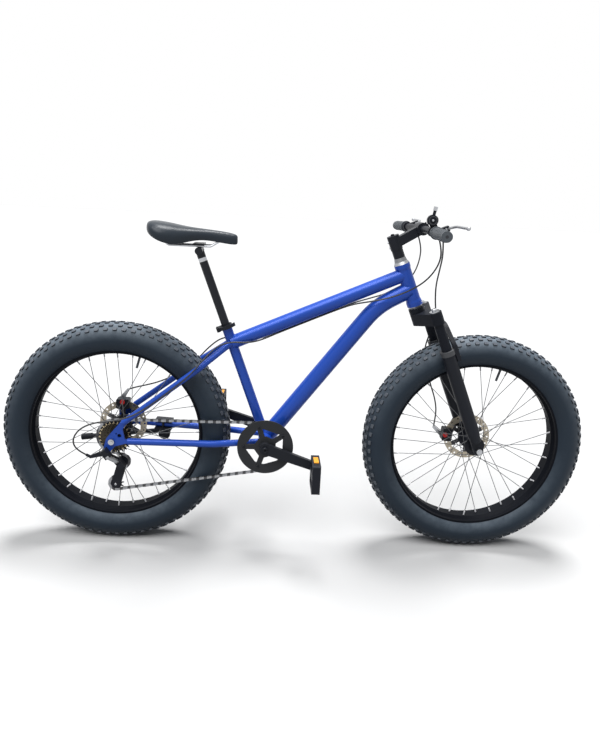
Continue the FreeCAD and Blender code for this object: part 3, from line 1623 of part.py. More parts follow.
def derailleur_cage():
    """Two plates that hold the pulleys, on a pin in the knuckle."""
    guide = guide_centre()
    tension = tension_centre(cage_turn)
    half = size("cage_half")
    thick = size("cage_plate")
    radius = size("cage_radius")
    pieces = []
    for low in (half, -half - thick):
        lift = ALONG_Y * low
        pieces.append(link_bar(guide + lift, radius, tension + lift, radius, ALONG_Y * thick))
    for centre in (guide, tension):
        reach = ALONG_Y * (half + thick)
        pieces.append(post_between(centre - reach, centre + reach, size("pulley_bolt_radius")))
    depth = amount("link_spread - free_gap")
    foot = V(guide.x, cage_outer() - depth, guide.z)
    pieces.append(Part.makeCylinder(size("cage_pin_radius"), depth, foot, ALONG_Y))
    return node("derailleur_cage", shaped("DerailleurCage", pieces[0].fuse(pieces[1:])))


def pulley(label, centre, index):
    bore = amount("pulley_bolt_radius + running_fit")
    wheel = toothed_plate(centre, PULLEY_TEETH, bore, wheel_phase(index), size("tooth_thickness"))
    half = size("pulley_half")
    hub = Part.makeCylinder(size("pulley_hub_radius"), half * 2, centre - ALONG_Y * half, ALONG_Y)
    hole = Part.makeCylinder(bore, half * 2, centre - ALONG_Y * half, ALONG_Y)
    return node(label, shaped(label.title().replace("_", ""), wheel.fuse(hub).cut(hole)))


def crank_way(side):
    """From the bottom bracket to a pedal; the right crank points forward and down."""
    tilt = math.radians(size("crank_tilt"))
    return V(math.cos(tilt), 0, -math.sin(tilt)) * -side


def pedal_point(side):
    return bracket + crank_way(side) * size("crank_length")


def outward_cylinder(centre, side, radius, start, end):
    """A cylinder across the bike on one side, between two distances from the centre plane."""
    return Part.makeCylinder(radius, end - start, centre + ALONG_Y * (side * start), ALONG_Y * side)


def crank_arm(side, name):
    low = -size("crank_outer") if side == RIGHT else size("crank_inner")
    deep = ALONG_Y * amount("crank_outer - crank_inner")
    lift = ALONG_Y * low
    arm = link_bar(
        bracket + lift, size("crank_root_radius"), pedal_point(side) + lift, size("crank_eye_radius"), deep
    )
    boss_start = size("crank_boss_inner")
    boss = outward_cylinder(bracket, side, size("crank_boss_radius"), boss_start, size("crank_outer"))
    spindle_bore = amount("spindle_radius + press_fit")
    axle_bore = amount("pedal_axle_radius + press_fit")
    bores = [
        outward_cylinder(bracket, side, spindle_bore, 0, size("spindle_half")),
        outward_cylinder(pedal_point(side), side, axle_bore, 0, size("pedal_centre")),
    ]
    return node(f"crank_arm_{name}", shaped(f"CrankArm{name.title()}", arm.fuse(boss).cut(bores)))


def crank_axles():
    """The spindle in the bottom bracket and the two pedal axles."""
    half = "spindle_half"
    items = [cylinder("Spindle", "spindle_radius", f"{half} + {half}", across(bracket, -size(half)))]
    length = "pedal_centre + pedal_half_width - pedal_rail - crank_inner"
    for side, name in ((LEFT, "Left"), (RIGHT, "Right")):
        far = amount(f"crank_inner + {length}")
        low = size("crank_inner") if side == LEFT else -far
        where = across(pedal_point(side), low)
        items.append(cylinder(f"{name}PedalAxle", "pedal_axle_radius", length, where))
    return node("crank_axles", group("CrankAxles", items))


def chainring():
    """The toothed ring and, bolted outside it, a guard with open windows."""
    thick = size("tooth_thickness")
    centre = bracket - ALONG_Y * size("ring_offset")
    plate = toothed_plate(centre, RING_TEETH, size("ring_bore_radius"), wheel_phase(0), thick)
    teeth = shaped("RingTeeth", plate)
    body = doc.addObject("PartDesign::Body", "Guard")
    rims = [("guard_radius", "0"), ("crank_boss_radius + press_fit", "0")]
    outline = circle_sketch(body, "GuardOutline", rims)
    pad(body, "GuardPlate", outline, "guard_thickness")
    window = polygon_sketch(
        body,
        "GuardWindow",
        "XY_Plane",
        [
            ("guard_hub_radius", "guard_window_inner_half"),
            ("guard_window_reach", "guard_window_outer_half"),
            ("guard_window_reach", "- guard_window_outer_half"),
            ("guard_hub_radius", "- guard_window_inner_half"),
        ],
    )
    patterned_pocket(body, "GuardWindows", window, GUARD_ARMS)
    body.Placement = across(bracket, -amount("guard_offset + guard_thickness"))
    start = size("ring_offset") + thick / 2
    bolts = []
    for k in range(GUARD_ARMS):
        angle = 2 * math.pi * (k + 0.5) / GUARD_ARMS
        out = V(math.cos(angle), 0, math.sin(angle)) * size("guard_bolt_circle")
        radius = size("guard_bolt_radius")
        bolts.append(outward_cylinder(bracket + out, RIGHT, radius, start, size("guard_offset")))
    spacers = shaped("GuardBolts", Part.makeCompound(bolts))
    return node("chainring", group("Chainring", [teeth, body, spacers]))


def pedal(side, name):
    """A cage with two windows round a barrel, hanging upright, and a reflector at each end."""
    centre = pedal_point(side) + ALONG_Y * (side * size("pedal_centre"))
    wide = size("pedal_half_width")
    long = size("pedal_half_length")
    high = size("pedal_half_height")
    rail = size("pedal_rail")
    barrel = size("pedal_barrel_radius")
    body = Part.makeBox(high * 2, wide * 2, long * 2, V(-high, -wide, -long))
    body = body.makeFillet(rail / 2, [edge for edge in body.Edges if is_along(edge, ALONG_X)])
    opening = long - rail - barrel
    over = high + size("overrun")
    for low in (barrel, -barrel - opening):
        body = body.cut(Part.makeBox(over * 2, (wide - rail) * 2, opening, V(-over, rail - wide, low)))
    bore = amount("pedal_axle_radius + running_fit")
    depth = wide * 2 - rail + size("free_gap")
    body = body.cut(Part.makeCylinder(bore, depth, V(0, -side * wide, 0), ALONG_Y * side))
    pieces = [body]
    half = size("reflector_length") / 2
    flat = size("reflector_height") / 2
    deep = size("reflector_depth")
    for low in (long, -long - deep):
        pieces.append(Part.makeBox(flat * 2, half * 2, deep, V(-flat, -half, low)))
    return node(f"pedal_{name}", shaped(f"Pedal{name.title()}", Part.makeCompound(pieces), place(centre)))


def is_along(edge, way):
    return edge.tangentAt(edge.FirstParameter).cross(way).Length < edge.Tolerance


def leg_point(side, up):
    """On a fork leg's axis, in the fork's frame."""
    return V(size("fork_offset"), side * size("leg_spacing"), up)


def fork_upper():
    """The crown on its steerer, with both stanchions and their caps."""
    top = -size("crown_top")
    foot = top - size("crown_height")
    boss_length = -amount("cup_height + free_gap") - foot
    steerer_top = size("stem_height") + size("stem_clamp_height") / 2
    steerer = Part.makeCylinder(size("steerer_radius"), steerer_top - foot, V(0, 0, foot))
    crown = Part.makeCylinder(size("crown_boss_radius"), boss_length, V(0, 0, foot)).fuse(steerer)
    radius = size("stanchion_radius")
    pieces = []
    for side in (RIGHT, LEFT):
        end = leg_point(side, foot)
        deep = ALONG_Z * size("crown_height")
        arm = link_bar(V(0, 0, foot), size("crown_boss_radius"), end, size("crown_socket_radius"), deep)
        crown = crown.fuse(arm)
        bottom = leg_point(side, -size("stanchion_end"))
        length = size("stanchion_end") + top
        tube = Part.makeCylinder(radius, length, bottom)
        pieces.append(tube.cut(Part.makeCylinder(radius - size("stanchion_wall"), length, bottom)))
        pieces.append(Part.makeCylinder(radius, size("cap_height"), leg_point(side, top)))
    socket_radius = radius + size("press_fit")
    sockets = []
    for side in (RIGHT, LEFT):
        sockets.append(Part.makeCylinder(socket_radius, size("crown_height"), leg_point(side, foot)))
    hollow_radius = size("steerer_radius") - size("steerer_wall")
    hollow = Part.makeCylinder(hollow_radius, steerer_top - foot, V(0, 0, foot))
    crown = crown.cut(sockets + [hollow]).removeSplitter()
    return node("fork_upper", shaped("ForkUpper", Part.makeCompound([crown] + pieces), fork_frame))


def fork_lowers():
    """Both legs with their dropouts, the brace over the tyre, the dust seals and the caliper lug."""
    items = []
    bore = "stanchion_radius + running_fit"
    section = [
        (bore, "- leg_top"),
        ("leg_radius", "- leg_top"),
        ("leg_radius", "- leg_bottom + leg_taper"),
        ("leg_foot_radius", "- leg_bottom"),
        ("0", "- leg_bottom"),
        ("0", "- leg_top - leg_bore_depth"),
        (bore, "- leg_top - leg_bore_depth"),
    ]
    for side, name in ((LEFT, "Left"), (RIGHT, "Right")):
        where = fork_frame.multiply(place(leg_point(side, 0)))
        leg = revolved(f"{name}Leg", section, where)
        low = size("leg_tab_inner") if side == LEFT else -amount("leg_tab_inner + leg_tab_thickness")
        deep = ALONG_Y * size("leg_tab_thickness")
        foot = in_fork(size("fork_offset"), 0, -amount("leg_bottom - leg_tab_radius"))
        radius = size("leg_tab_radius")
        tab = link_bar(foot + ALONG_Y * low, radius, front_axle + ALONG_Y * low, radius, deep)
        pieces = [leg, shaped(f"{name}LegTab", tab)]
        if side == LEFT:
            pieces.append(shaped("CaliperLug", caliper_lug()))
        blank = fuse(f"{name}LegBlank", pieces)
        half = "axle_half_front"
        across_legs = across(front_axle, -size(half))
        hole = through(f"{name}LegHole", "axle_radius + press_fit", f"{half} + {half}", across_legs)
        hollow = cylinder(f"{name}LegBore", bore, "leg_bore_depth", where.multiply(place(leg_bore_foot())))
        items.append(cut(f"{name}LegDrilled", cut(f"{name}LegBored", blank, hollow), hole))
        seal_place = where.multiply(place(V(0, 0, -size("leg_top"))))
        items.append(ring(f"{name}Seal", "seal_radius", bore, "seal_height", seal_place))
    items.append(shaped("ForkBrace", fork_brace(), fork_frame))
    return node("fork_lowers", group("ForkLowers", items))


def leg_bore_foot():
    return V(0, 0, -amount("leg_top + leg_bore_depth"))


def caliper_lug():
    """A plate from the left leg to the outer face of the front caliper."""
    turn = math.radians(-size("front_caliper_turn"))
    out = V(math.sin(turn), 0, math.cos(turn))
    side = ALONG_Y * amount("front_disc_offset + caliper_outer")
    half = size("caliper_lug_width") / 2
    end = front_axle + out * amount("disc_radius - caliper_half_length") + side
    start = in_fork(size("fork_offset"), 0, -amount("leg_bottom - leg_taper")) + side
    return link_bar(start, half, end, half, ALONG_Y * size("caliper_lug_thickness"))


def fork_brace():
    """An arch of flat section across the front of both legs."""
    thick = size("brace_thickness")
    wide = size("brace_width")
    out = amount("fork_offset + leg_radius + press_fit") + thick / 2
    side = size("leg_spacing")
    route = [
        V(out, side, -size("brace_foot")),
        V(out, side, -size("brace_shoulder")),
        V(out, size("brace_top_half"), -size("brace_top")),
        V(out, -size("brace_top_half"), -size("brace_top")),
        V(out, -side, -size("brace_shoulder")),
        V(out, -side, -size("brace_foot")),
    ]
    path, _ = rounded_path(route, size("brace_bend"))
    start = route[0]
    deep = V(thick / 2, 0, 0)
    across_strap = V(0, wide / 2, 0)
    corners = [
        start + deep + across_strap,
        start - deep + across_strap,
        start - deep - across_strap,
        start + deep - across_strap,
    ]
    section = Part.makePolygon(corners + corners[:1])
    return path.makePipeShell([section], True, False)


def stem():
    """The clamped stem, its cap, and the spacer and cone under it."""
    clamp_low = size("stem_height") - size("stem_clamp_height") / 2
    where = fork_frame.multiply(place(V(0, 0, clamp_low)))
    clamp = cylinder("StemClamp", "stem_clamp_radius", "stem_clamp_height", where)
    bar = V(size("stem_reach"), 0, size("bar_height"))
    bar_place = fork_frame.multiply(place(bar - ALONG_Y * size("bar_clamp_half"), ALONG_X, -90))
    holder = cylinder("BarClamp", "bar_clamp_radius", "bar_clamp_half + bar_clamp_half", bar_place)
    half = size("stem_neck_height") / 2
    wide = size("stem_neck_width")
    root = V(0, -wide / 2, size("stem_height"))
    tip = bar - ALONG_Y * (wide / 2)
    corners = [root - ALONG_Z * half, tip - ALONG_Z * half, tip + ALONG_Z * half, root + ALONG_Z * half]
    neck = shaped("StemNeck", polygon_prism(corners, ALONG_Y * wide), fork_frame)
    blank = fuse("StemBlank", [clamp, holder, neck])
    bores = [
        through("StemBore", "steerer_radius + press_fit", "stem_clamp_height", where),
        through("BarBore", "bar_radius + press_fit", "bar_clamp_half + bar_clamp_half", bar_place),
    ]
    body = cut("StemBody", cut("StemBored", blank, bores[0]), bores[1])
    top = fork_frame.multiply(place(V(0, 0, clamp_low + size("stem_clamp_height"))))
    cap = cylinder("StemCap", "stem_clamp_radius", "stem_cap_height", top)
    bore = "steerer_radius + press_fit"
    cone_low = amount("head_length + cup_height + free_gap")
    cone_place = fork_frame.multiply(place(V(0, 0, cone_low)))
    cone_body = cone("ConeBody", "cup_tip_radius", "spacer_radius", "cone_height", cone_place)
    seat = cut("SteererCone", cone_body, through("ConeBore", bore, "cone_height", cone_place))
    spacer_low = cone_low + size("cone_height")
    spacer_place = fork_frame.multiply(place(V(0, 0, spacer_low)))
    outer = cylinder("SpacerOuter", "spacer_radius", clamp_low - spacer_low, spacer_place)
    inner = cylinder("SpacerBore", bore, clamp_low - spacer_low, spacer_place)
    return node("stem", group("Stem", [body, cap, seat, cut("Spacer", outer, inner)]))


def bar_frame(side):
    """On the handlebar's axis where its grip end begins, with Y along that end."""
    bend = V(size("stem_reach"), side * size("bar_straight"), size("bar_height"))
    return fork_frame.multiply(place(bend, ALONG_Z, side * size("bar_sweep")))


def bar_point(side, distance):
    """A point on the bar's axis in a bar frame, by its distance along the bar from the middle."""
    return V(0, side * (distance - size("bar_straight")), 0)


def handlebar():
    ends = []
    for side in (RIGHT, LEFT):
        ends.append(bar_frame(side).multVec(bar_point(side, size("bar_half"))))
    bends = [bar_frame(side).Base for side in (RIGHT, LEFT)]
    tube = tube_along([ends[0], *bends, ends[1]], size("bar_radius"), size("bar_wall"), size("bar_bend"))
    return node("handlebar", shaped("Handlebar", tube))


def grips():
    """Ribbed sleeves with an inner flange and a closed outer end."""
    bore = "bar_radius + press_fit"
    low = "grip_flange_width"
    section = [(bore, "0"), ("grip_flange_radius", "0"), ("grip_flange_radius", low)]
    ribs = int(amount("grip_length - grip_flange_width") / size("grip_rib_pitch"))
    for _ in range(ribs):
        rib_end = f"{low} + grip_rib_width"
        section += [("grip_rib_radius", low), ("grip_rib_radius", rib_end), ("grip_radius", rib_end)]
        low = f"{low} + grip_rib_pitch"
        section.append(("grip_radius", low))
    section += [
        ("grip_radius", "grip_length + grip_cap"),
        ("0", "grip_length + grip_cap"),
        ("0", "grip_length"),
        (bore, "grip_length"),
    ]
    items = []
    for side, name in ((RIGHT, "Right"), (LEFT, "Left")):
        start = bar_point(side, amount("bar_half - grip_length"))
        where = bar_frame(side).multiply(place(start, ALONG_X, -90 * side))
        items.append(revolved(f"{name}Grip", section, where))
    return node("grips", group("Grips", items))


def bar_clamp_ring(side, distance, width, wall):
    """A ring round the bar in a bar frame, from this distance outwards."""
    start = bar_point(side, distance)
    outer = Part.makeCylinder(amount("bar_radius") + wall, width, start, ALONG_Y * side)
    inner = Part.makeCylinder(amount("bar_radius + press_fit"), width, start, ALONG_Y * side)
    return outer, inner


def lever_mount_place():
    """How far from the bar's middle the lever mounts begin: just inside the grips."""
    return amount("bar_half - grip_length - lever_grip_gap - lever_mount_width")


def shifter_place():
    """How far from the bar's middle the shifter begins: inside the right lever mount."""
    return lever_mount_place() - amount("shifter_lever_gap + shifter_width")


def lever_pivot(side):
    middle = lever_mount_place() + size("lever_mount_width") / 2
    return bar_point(side, middle) + ALONG_X * size("lever_pivot_reach")


def bar_clamps():
    """The two brake lever mounts, each slotted for its lever and with the lever's pin, and the shifter."""
    pieces = [shifter()]
    for side in (RIGHT, LEFT):
        wide = size("lever_mount_width")
        outer, inner = bar_clamp_ring(side, lever_mount_place(), wide, size("lever_mount_wall"))
        corner = bar_point(side, lever_mount_place())
        low = corner.y if side == LEFT else corner.y - wide
        high = size("lever_body_height")
        block = Part.makeBox(size("lever_body_reach"), wide, high, V(0, low, -high / 2))
        pivot = lever_pivot(side)
        slot = size("lever_slot")
        slot_start = pivot.x - amount("lever_hub_radius + overrun")
        over = size("overrun")
        gap_corner = V(slot_start, low - over, -slot / 2)
        gap = Part.makeBox(size("lever_body_reach"), wide + over * 2, slot, gap_corner)
        pin = Part.makeCylinder(size("lever_pivot_radius"), high, pivot - ALONG_Z * (high / 2))
        body = outer.fuse(block).cut([inner, gap]).fuse(pin)
        body.Placement = bar_frame(side)
        pieces.append(body)
    return node("bar_clamps", shaped("BarClamps", Part.makeCompound(pieces)))


def brake_lever(side, name):
    """A curved blade with a ball end, turning on the pin of its mount."""
    pivot = lever_pivot(side)
    half = size("lever_blade_radius")
    bend = pivot + V(size("lever_bend_reach") - pivot.x, side * size("lever_bend_out"), 0)
    tip = pivot + V(size("lever_tip_reach") - pivot.x, side * size("lever_tip_out"), 0)
    blade, _ = rod_along([pivot, bend, tip], half, size("lever_bend"))
    hub = Part.makeCylinder(size("lever_hub_radius"), half * 2, pivot - ALONG_Z * half)
    ball = Part.makeSphere(size("lever_ball_radius"), tip)
    hole = Part.makeCylinder(amount("lever_pivot_radius + running_fit"), half * 2, pivot - ALONG_Z * half)
    lever = hub.fuse([blade, ball]).cut(hole)
    return node(f"brake_lever_{name}", shaped(f"BrakeLever{name.title()}", lever, bar_frame(side)))


def shifter_axis():
    """Where the shift lever's drum begins, in the right bar frame."""
    start = bar_point(RIGHT, shifter_place() + size("shifter_block_width"))
    return start + V(size("shifter_drum_reach"), 0, size("shifter_drum_rise"))


def shifter():
    """A clamp on the bar with an upright block and the lever's pin."""
    outer, inner = bar_clamp_ring(RIGHT, shifter_place(), size("shifter_width"), size("shifter_wall"))
    wide = size("shifter_block_width")
    axis = shifter_axis()
    half = size("shifter_block_half")
    top = axis.z + half
    block = Part.makeBox(half * 2, wide, top, V(axis.x - half, axis.y, 0))
    pin_length = wide + amount("shifter_drum_width + free_gap + free_gap")
    pin = Part.makeCylinder(size("shifter_pin_radius"), pin_length, axis + ALONG_Y * wide, ALONG_Y * -1)
    body = outer.fuse(block).cut(inner).fuse(pin)
    body.Placement = bar_frame(RIGHT)
    return body


def shift_lever():
    """A drum on the shifter's pin with an upright lever and a cap on its end."""
    start = shifter_axis() - ALONG_Y * size("free_gap")
    wide = size("shifter_drum_width")
    drum = Part.makeCylinder(size("shifter_drum_radius"), wide, start, ALONG_Y * -1)
    lean_angle = math.radians(size("shift_lever_lean"))
    up = V(math.sin(lean_angle), 0, math.cos(lean_angle))
    root = start - ALONG_Y * (wide / 2)
    cap = size("shift_lever_cap_radius"), size("shift_lever_cap_length")
    arm = stepped_rod(root, root + up * size("shift_lever_length"), size("shift_lever_radius"), *cap)
    hole = Part.makeCylinder(amount("shifter_pin_radius + running_fit"), wide, start, ALONG_Y * -1)
    return node("shift_lever", shaped("ShiftLever", drum.fuse(arm).cut(hole), bar_frame(RIGHT)))


def clamp_outer():
    return amount("seat_tube_radius + clamp_wall")


def clamp_pin_point():
    """The quick lever's pivot in the seat's frame, at the height where the lever begins."""
    turn = math.radians(size("clamp_pin_turn"))
    reach = clamp_outer() + size("quick_lever_gap") + size("quick_lever_width") / 2
    low = amount("seat_tube_length - clamp_drop + clamp_shelf + free_gap")
    return V(math.cos(turn) * reach, math.sin(turn) * reach, low)


def seat_clamp():
    """A slit collar round the top of the seat tube, with ears and the quick lever's shelf and pin."""
    low = amount("seat_tube_length - clamp_drop")
    high = size("clamp_height")
    collar = Part.makeCylinder(clamp_outer(), high, V(0, 0, low))
    ear_out = clamp_outer() + size("clamp_ear_length")
    half = size("clamp_ear_half")
    ears = Part.makeBox(ear_out, half * 2, high, V(-ear_out, -half, low))
    pin = clamp_pin_point()
    shelf_start = V(-ear_out + half, 0, low)
    shelf_end = V(pin.x, pin.y, low)
    boss = size("quick_lever_boss_radius")
    shelf = link_bar(shelf_start, half, shelf_end, boss, ALONG_Z * size("clamp_shelf"))
    post_length = amount("clamp_shelf + free_gap + quick_lever_height + free_gap")
    post = Part.makeCylinder(size("clamp_pin_radius"), post_length, shelf_end)
    slit_half = size("clamp_slit_half")
    over = size("overrun")
    slit_corner = V(-ear_out - over, -slit_half, low - over)
    slit = Part.makeBox(ear_out + over, slit_half * 2, high + over * 2, slit_corner)
    bore = Part.makeCylinder(amount("seat_tube_radius + press_fit"), high, V(0, 0, low))
    body = collar.fuse(ears).cut(slit).fuse([shelf, post]).cut(bore)
    return node("seat_clamp", shaped("SeatClamp", body, seat_frame))


def seat_clamp_lever():
    """The quick lever, curved round the right side of the collar."""
    pin = clamp_pin_point()
    inner = clamp_outer() + size("quick_lever_gap")
    wide = size("quick_lever_width")
    high = size("quick_lever_height")
    sweep = size("quick_lever_sweep")
    band = Part.makeCylinder(inner + wide, high, V(0, 0, pin.z), ALONG_Z, sweep)
    band = band.cut(Part.makeCylinder(inner, high, V(0, 0, pin.z), ALONG_Z))
    band.rotate(V(), ALONG_Z, size("clamp_pin_turn"))
    boss = Part.makeCylinder(size("quick_lever_boss_radius"), high, pin)
    hole = Part.makeCylinder(amount("clamp_pin_radius + running_fit"), high, pin)
    return node("seat_clamp_lever", shaped("SeatClampLever", band.fuse(boss).cut(hole), seat_frame))


def post_head():
    return seat_axis(size("post_top"))


def rail_height():
    return post_head().z + amount("post_clamp_radius + press_fit + rail_radius")


def seatpost():
    """The post with its cross head, and the plate that clamps the saddle's rails on it."""
    low = amount("seat_tube_length - post_insert")
    start = seat_axis(low)
    length = size("post_top") - low
    post = Part.makeCylinder(size("post_radius"), length, start, seat_up)
    hollow_length = length - size("post_clamp_radius")
    hollow = Part.makeCylinder(amount("post_radius - post_wall"), hollow_length, start, seat_up)
    half = size("post_clamp_half")
    head_radius = size("post_clamp_radius")
    head = Part.makeCylinder(head_radius, half * 2, post_head() - ALONG_Y * half, ALONG_Y)
    plate_low = rail_height() + amount("rail_radius + press_fit")
    bolt_length = plate_low - post_head().z
    bolt = Part.makeCylinder(size("rail_bolt_radius"), bolt_length, post_head())
    wide = size("rail_plate_half")
    corner = V(post_head().x - wide, -half, plate_low)
    plate = Part.makeBox(wide * 2, half * 2, size("rail_plate_thickness"), corner)
    body = post.cut(hollow).fuse([head, bolt])
    return node("seatpost", shaped("Seatpost", Part.makeCompound([body, plate])))


def saddle_section(place_share, width_share, depth_share, drop_share):
    """One cross-section: a flat bottom, bulging sides and a crowned top."""
    x = rear_axle.x + size("saddle_rear_reach") + size("saddle_length") * place_share
    wide = size("saddle_half_width") * width_share
    top = size("saddle_height") - size("saddle_depth") * drop_share
    deep = size("saddle_depth") * depth_share

    def at(y_share, z_share):
        return V(x, wide * y_share, top - deep + deep * z_share)

    shoulder = SADDLE_SHOULDER_SHARE
    waist = SADDLE_WAIST_SHARE
    bulge = SADDLE_BULGE_SHARE
    left = Part.Arc(at(waist, 0), at(bulge, shoulder / 2), at(shoulder, shoulder))
    crown = Part.Arc(at(shoulder, shoulder), at(0, 1), at(-shoulder, shoulder))
    right = Part.Arc(at(-shoulder, shoulder), at(-bulge, shoulder / 2), at(-waist, 0))
    bottom = Part.LineSegment(at(-waist, 0), at(waist, 0))
    return Part.Wire([curve.toShape() for curve in (left, crown, right, bottom)])


def saddle_shape():
    return Part.makeLoft([saddle_section(*shares) for shares in SADDLE_SECTION_SHARES], True, False)


def saddle():
    return node("saddle", shaped("Saddle", saddle_shape()))


def saddle_rails():
    """Two bent rods from the saddle's tail to its nose, ending against its base."""
    low = rail_height()
    top = size("saddle_height")
    rods = []
    for side in (RIGHT, LEFT):
        wide = side * size("rail_half")
        route = [
            stay_point("rail_rear_reach", wide, top - size("saddle_depth") / 2),
            stay_point("rail_low_reach", wide, low),
            stay_point("rail_rise_reach", wide, low),
            stay_point("rail_front_reach", side * size("rail_nose_half"), top - size("saddle_depth")),
        ]
        rod, _ = rod_along(route, size("rail_radius"), size("rail_bend"))
        rods.append(largest(rod.cut(saddle_shape())))
    return node("saddle_rails", shaped("SaddleRails", Part.makeCompound(rods)))


def route_points(route, anchors):
    """A cable's points, each set off from its place along the line of anchors."""
    points = []
    for along, forward, left, up in route:
        step = min(int(along), len(anchors) - 2)
        base = anchors[step] + (anchors[step + 1] - anchors[step]) * (along - step)
        points.append(base + V(forward, left, up))
    return points


def cables():
    """The shift and rear brake cables along the frame, and the front brake cable down the fork."""

    def run(route, anchors):
        rod, radii = rod_along(route_points(route, anchors), size("cable_radius"))
        length = rod.Volume / math.pi / size("cable_radius") ** 2
        print("cable length", round(length), "least radius", round(min(radii)))
        return rod

    levers = [bar_frame(side).multVec(lever_pivot(side)) for side in (RIGHT, LEFT)]
    along_frame = [head_foot, bracket + seat_up * size("seat_tube_length"), rear_axle]
    shift = run(SHIFT_ROUTE, [levers[0], *along_frame])
    rear_brake = run(REAR_BRAKE_ROUTE, [levers[1], *along_frame])
    front_brake = run(FRONT_BRAKE_ROUTE, [levers[0], head_foot, front_axle])
    node("rear_cables", shaped("RearCables", Part.makeCompound([shift, rear_brake])))
    node("front_brake_cable", shaped("FrontBrakeCable", front_brake))


for prefix, centre in (("rear", rear_axle), ("front", front_axle)):
    tyre(prefix, centre)
    inner_tube(prefix, centre)
    rim(prefix, centre)
spokes("rear", rear_axle, ((RIGHT, size("rear_right_flange")), (LEFT, size("rear_left_flange"))))
spokes("front", front_axle, ((RIGHT, size("front_flange")), (LEFT, size("front_flange"))))
rear_hub()
front_hub()
brake_disc("rear", rear_axle, "rear_disc_offset")
brake_disc("front", front_axle, "front_disc_offset")
head_tube()
headset()
top_tube()
down_tube()
seat_tube()
bottom_bracket()
chainstays()
seatstays()
dropouts()
wheel_axle("rear", rear_axle, "axle_half_rear", amount("dropout_inner + dropout_thickness"))
wheel_axle("front", front_axle, "axle_half_front", amount("leg_tab_inner + leg_tab_thickness"))
brake_caliper("rear", rear_axle, "rear_disc_offset", 0)
brake_arm("rear", rear_axle, "rear_disc_offset", 0)
brake_caliper("front", front_axle, "front_disc_offset", -size("front_caliper_turn"))
brake_arm("front", front_axle, "front_disc_offset", -size("front_caliper_turn"))
kickstand_bracket()
kickstand()
chain()
freewheel()
derailleur_bracket()
derailleur_link("outer", 0)
derailleur_link("inner", size("link_spread"))
derailleur_knuckle()
derailleur_cage()
pulley("guide_pulley", guide_centre(), 2)
pulley("tension_pulley", tension_centre(cage_turn), 1)
crank_axles()
chainring()
for side, name in ((RIGHT, "right"), (LEFT, "left")):
    crank_arm(side, name)
    pedal(side, name)
    brake_lever(side, name)
fork_upper()
fork_lowers()
stem()
handlebar()
grips()
bar_clamps()
shift_lever()
seat_clamp()
seat_clamp_lever()
seatpost()
saddle()
saddle_rails()
cables()

doc.recompute()
failed = [item.Name for item in doc.Objects if {"Invalid", "Error"} & set(item.State)]
assert not failed, f"failed objects: {failed}"
for item in nodes:
    assert not item.Shape.isNull() and item.Shape.isValid(), f"{item.Label} has a bad shape"
os.makedirs("parts", exist_ok=True)
for item in nodes:
    item.Shape.exportStep(f"parts/{item.Label}.step")
print(len(nodes), "sub-parts, chain links", chain_count)
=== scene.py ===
import json
import math

import bmesh
import bpy
from bpy.props import FloatProperty, FloatVectorProperty, IntProperty, PointerProperty
from mathutils import Matrix, Vector


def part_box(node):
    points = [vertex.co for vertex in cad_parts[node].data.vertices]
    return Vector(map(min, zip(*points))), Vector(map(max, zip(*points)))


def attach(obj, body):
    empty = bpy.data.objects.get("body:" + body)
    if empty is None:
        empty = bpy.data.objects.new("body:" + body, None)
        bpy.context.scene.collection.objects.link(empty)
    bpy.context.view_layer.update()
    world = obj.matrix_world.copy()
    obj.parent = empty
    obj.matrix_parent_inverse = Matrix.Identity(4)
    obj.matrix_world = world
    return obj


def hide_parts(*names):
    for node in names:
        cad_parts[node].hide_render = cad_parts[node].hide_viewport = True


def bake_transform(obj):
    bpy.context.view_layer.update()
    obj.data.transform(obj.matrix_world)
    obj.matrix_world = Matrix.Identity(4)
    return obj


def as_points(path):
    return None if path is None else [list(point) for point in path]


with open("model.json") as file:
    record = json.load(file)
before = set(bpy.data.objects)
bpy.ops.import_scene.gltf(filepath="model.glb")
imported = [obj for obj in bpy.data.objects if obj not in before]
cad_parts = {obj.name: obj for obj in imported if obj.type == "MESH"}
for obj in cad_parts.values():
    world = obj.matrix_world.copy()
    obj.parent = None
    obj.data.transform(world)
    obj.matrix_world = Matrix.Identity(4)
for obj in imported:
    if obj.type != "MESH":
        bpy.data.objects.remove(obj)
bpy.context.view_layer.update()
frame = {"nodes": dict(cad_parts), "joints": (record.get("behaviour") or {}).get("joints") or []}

bl_info = {
    "name": "Fat tire bike",
    "version": (1, 0, 0),
    "blender": (4, 5, 0),
    "location": "View3D > Sidebar > Fat bike",
    "description": "Finishes, tyres, saddle, cables and screws of a fat tire bike on its packed frame",
    "category": "Object",
}

NODES = frame["nodes"]
JOINTS = {joint["name"]: joint for joint in frame["joints"]}
MM = 0.001
ORIGIN = Vector((0, 0, 0))
LEFT = Vector((0, 1, 0))
RIGHT = -LEFT


def joint_place(name):
    return Vector(JOINTS[name]["pos_m"])


def joint_axis(name):
    return Vector(JOINTS[name]["axis"]).normalized()


REAR_AXLE = joint_place("rear_wheel_spin")
FRONT_AXLE = joint_place("front_wheel_spin")
BRACKET = joint_place("crank_spin")
HEAD_FOOT = joint_place("steering")
STEER_UP = joint_axis("steering")
STEER_FORWARD = LEFT.cross(STEER_UP).normalized()
SEAT_UP = joint_axis("seatpost_slide")
SADDLE_LOW, SADDLE_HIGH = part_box("saddle")
POST_HEAD = Vector((-0.337837, 0, 0.986077))
GRIP_END = Vector((0.35, 0, 1.0802))

# The fork legs' middle lines, in millimetres forward and sideways in the steering frame
LEG_FORWARD = 39
LEG_SIDE = 78
# How far the shift lever leans forward from the steering axis
LEVER_LEAN = math.radians(32)
# One inner and one outer link of the chain
CHAIN_STEP = 25.4 * MM

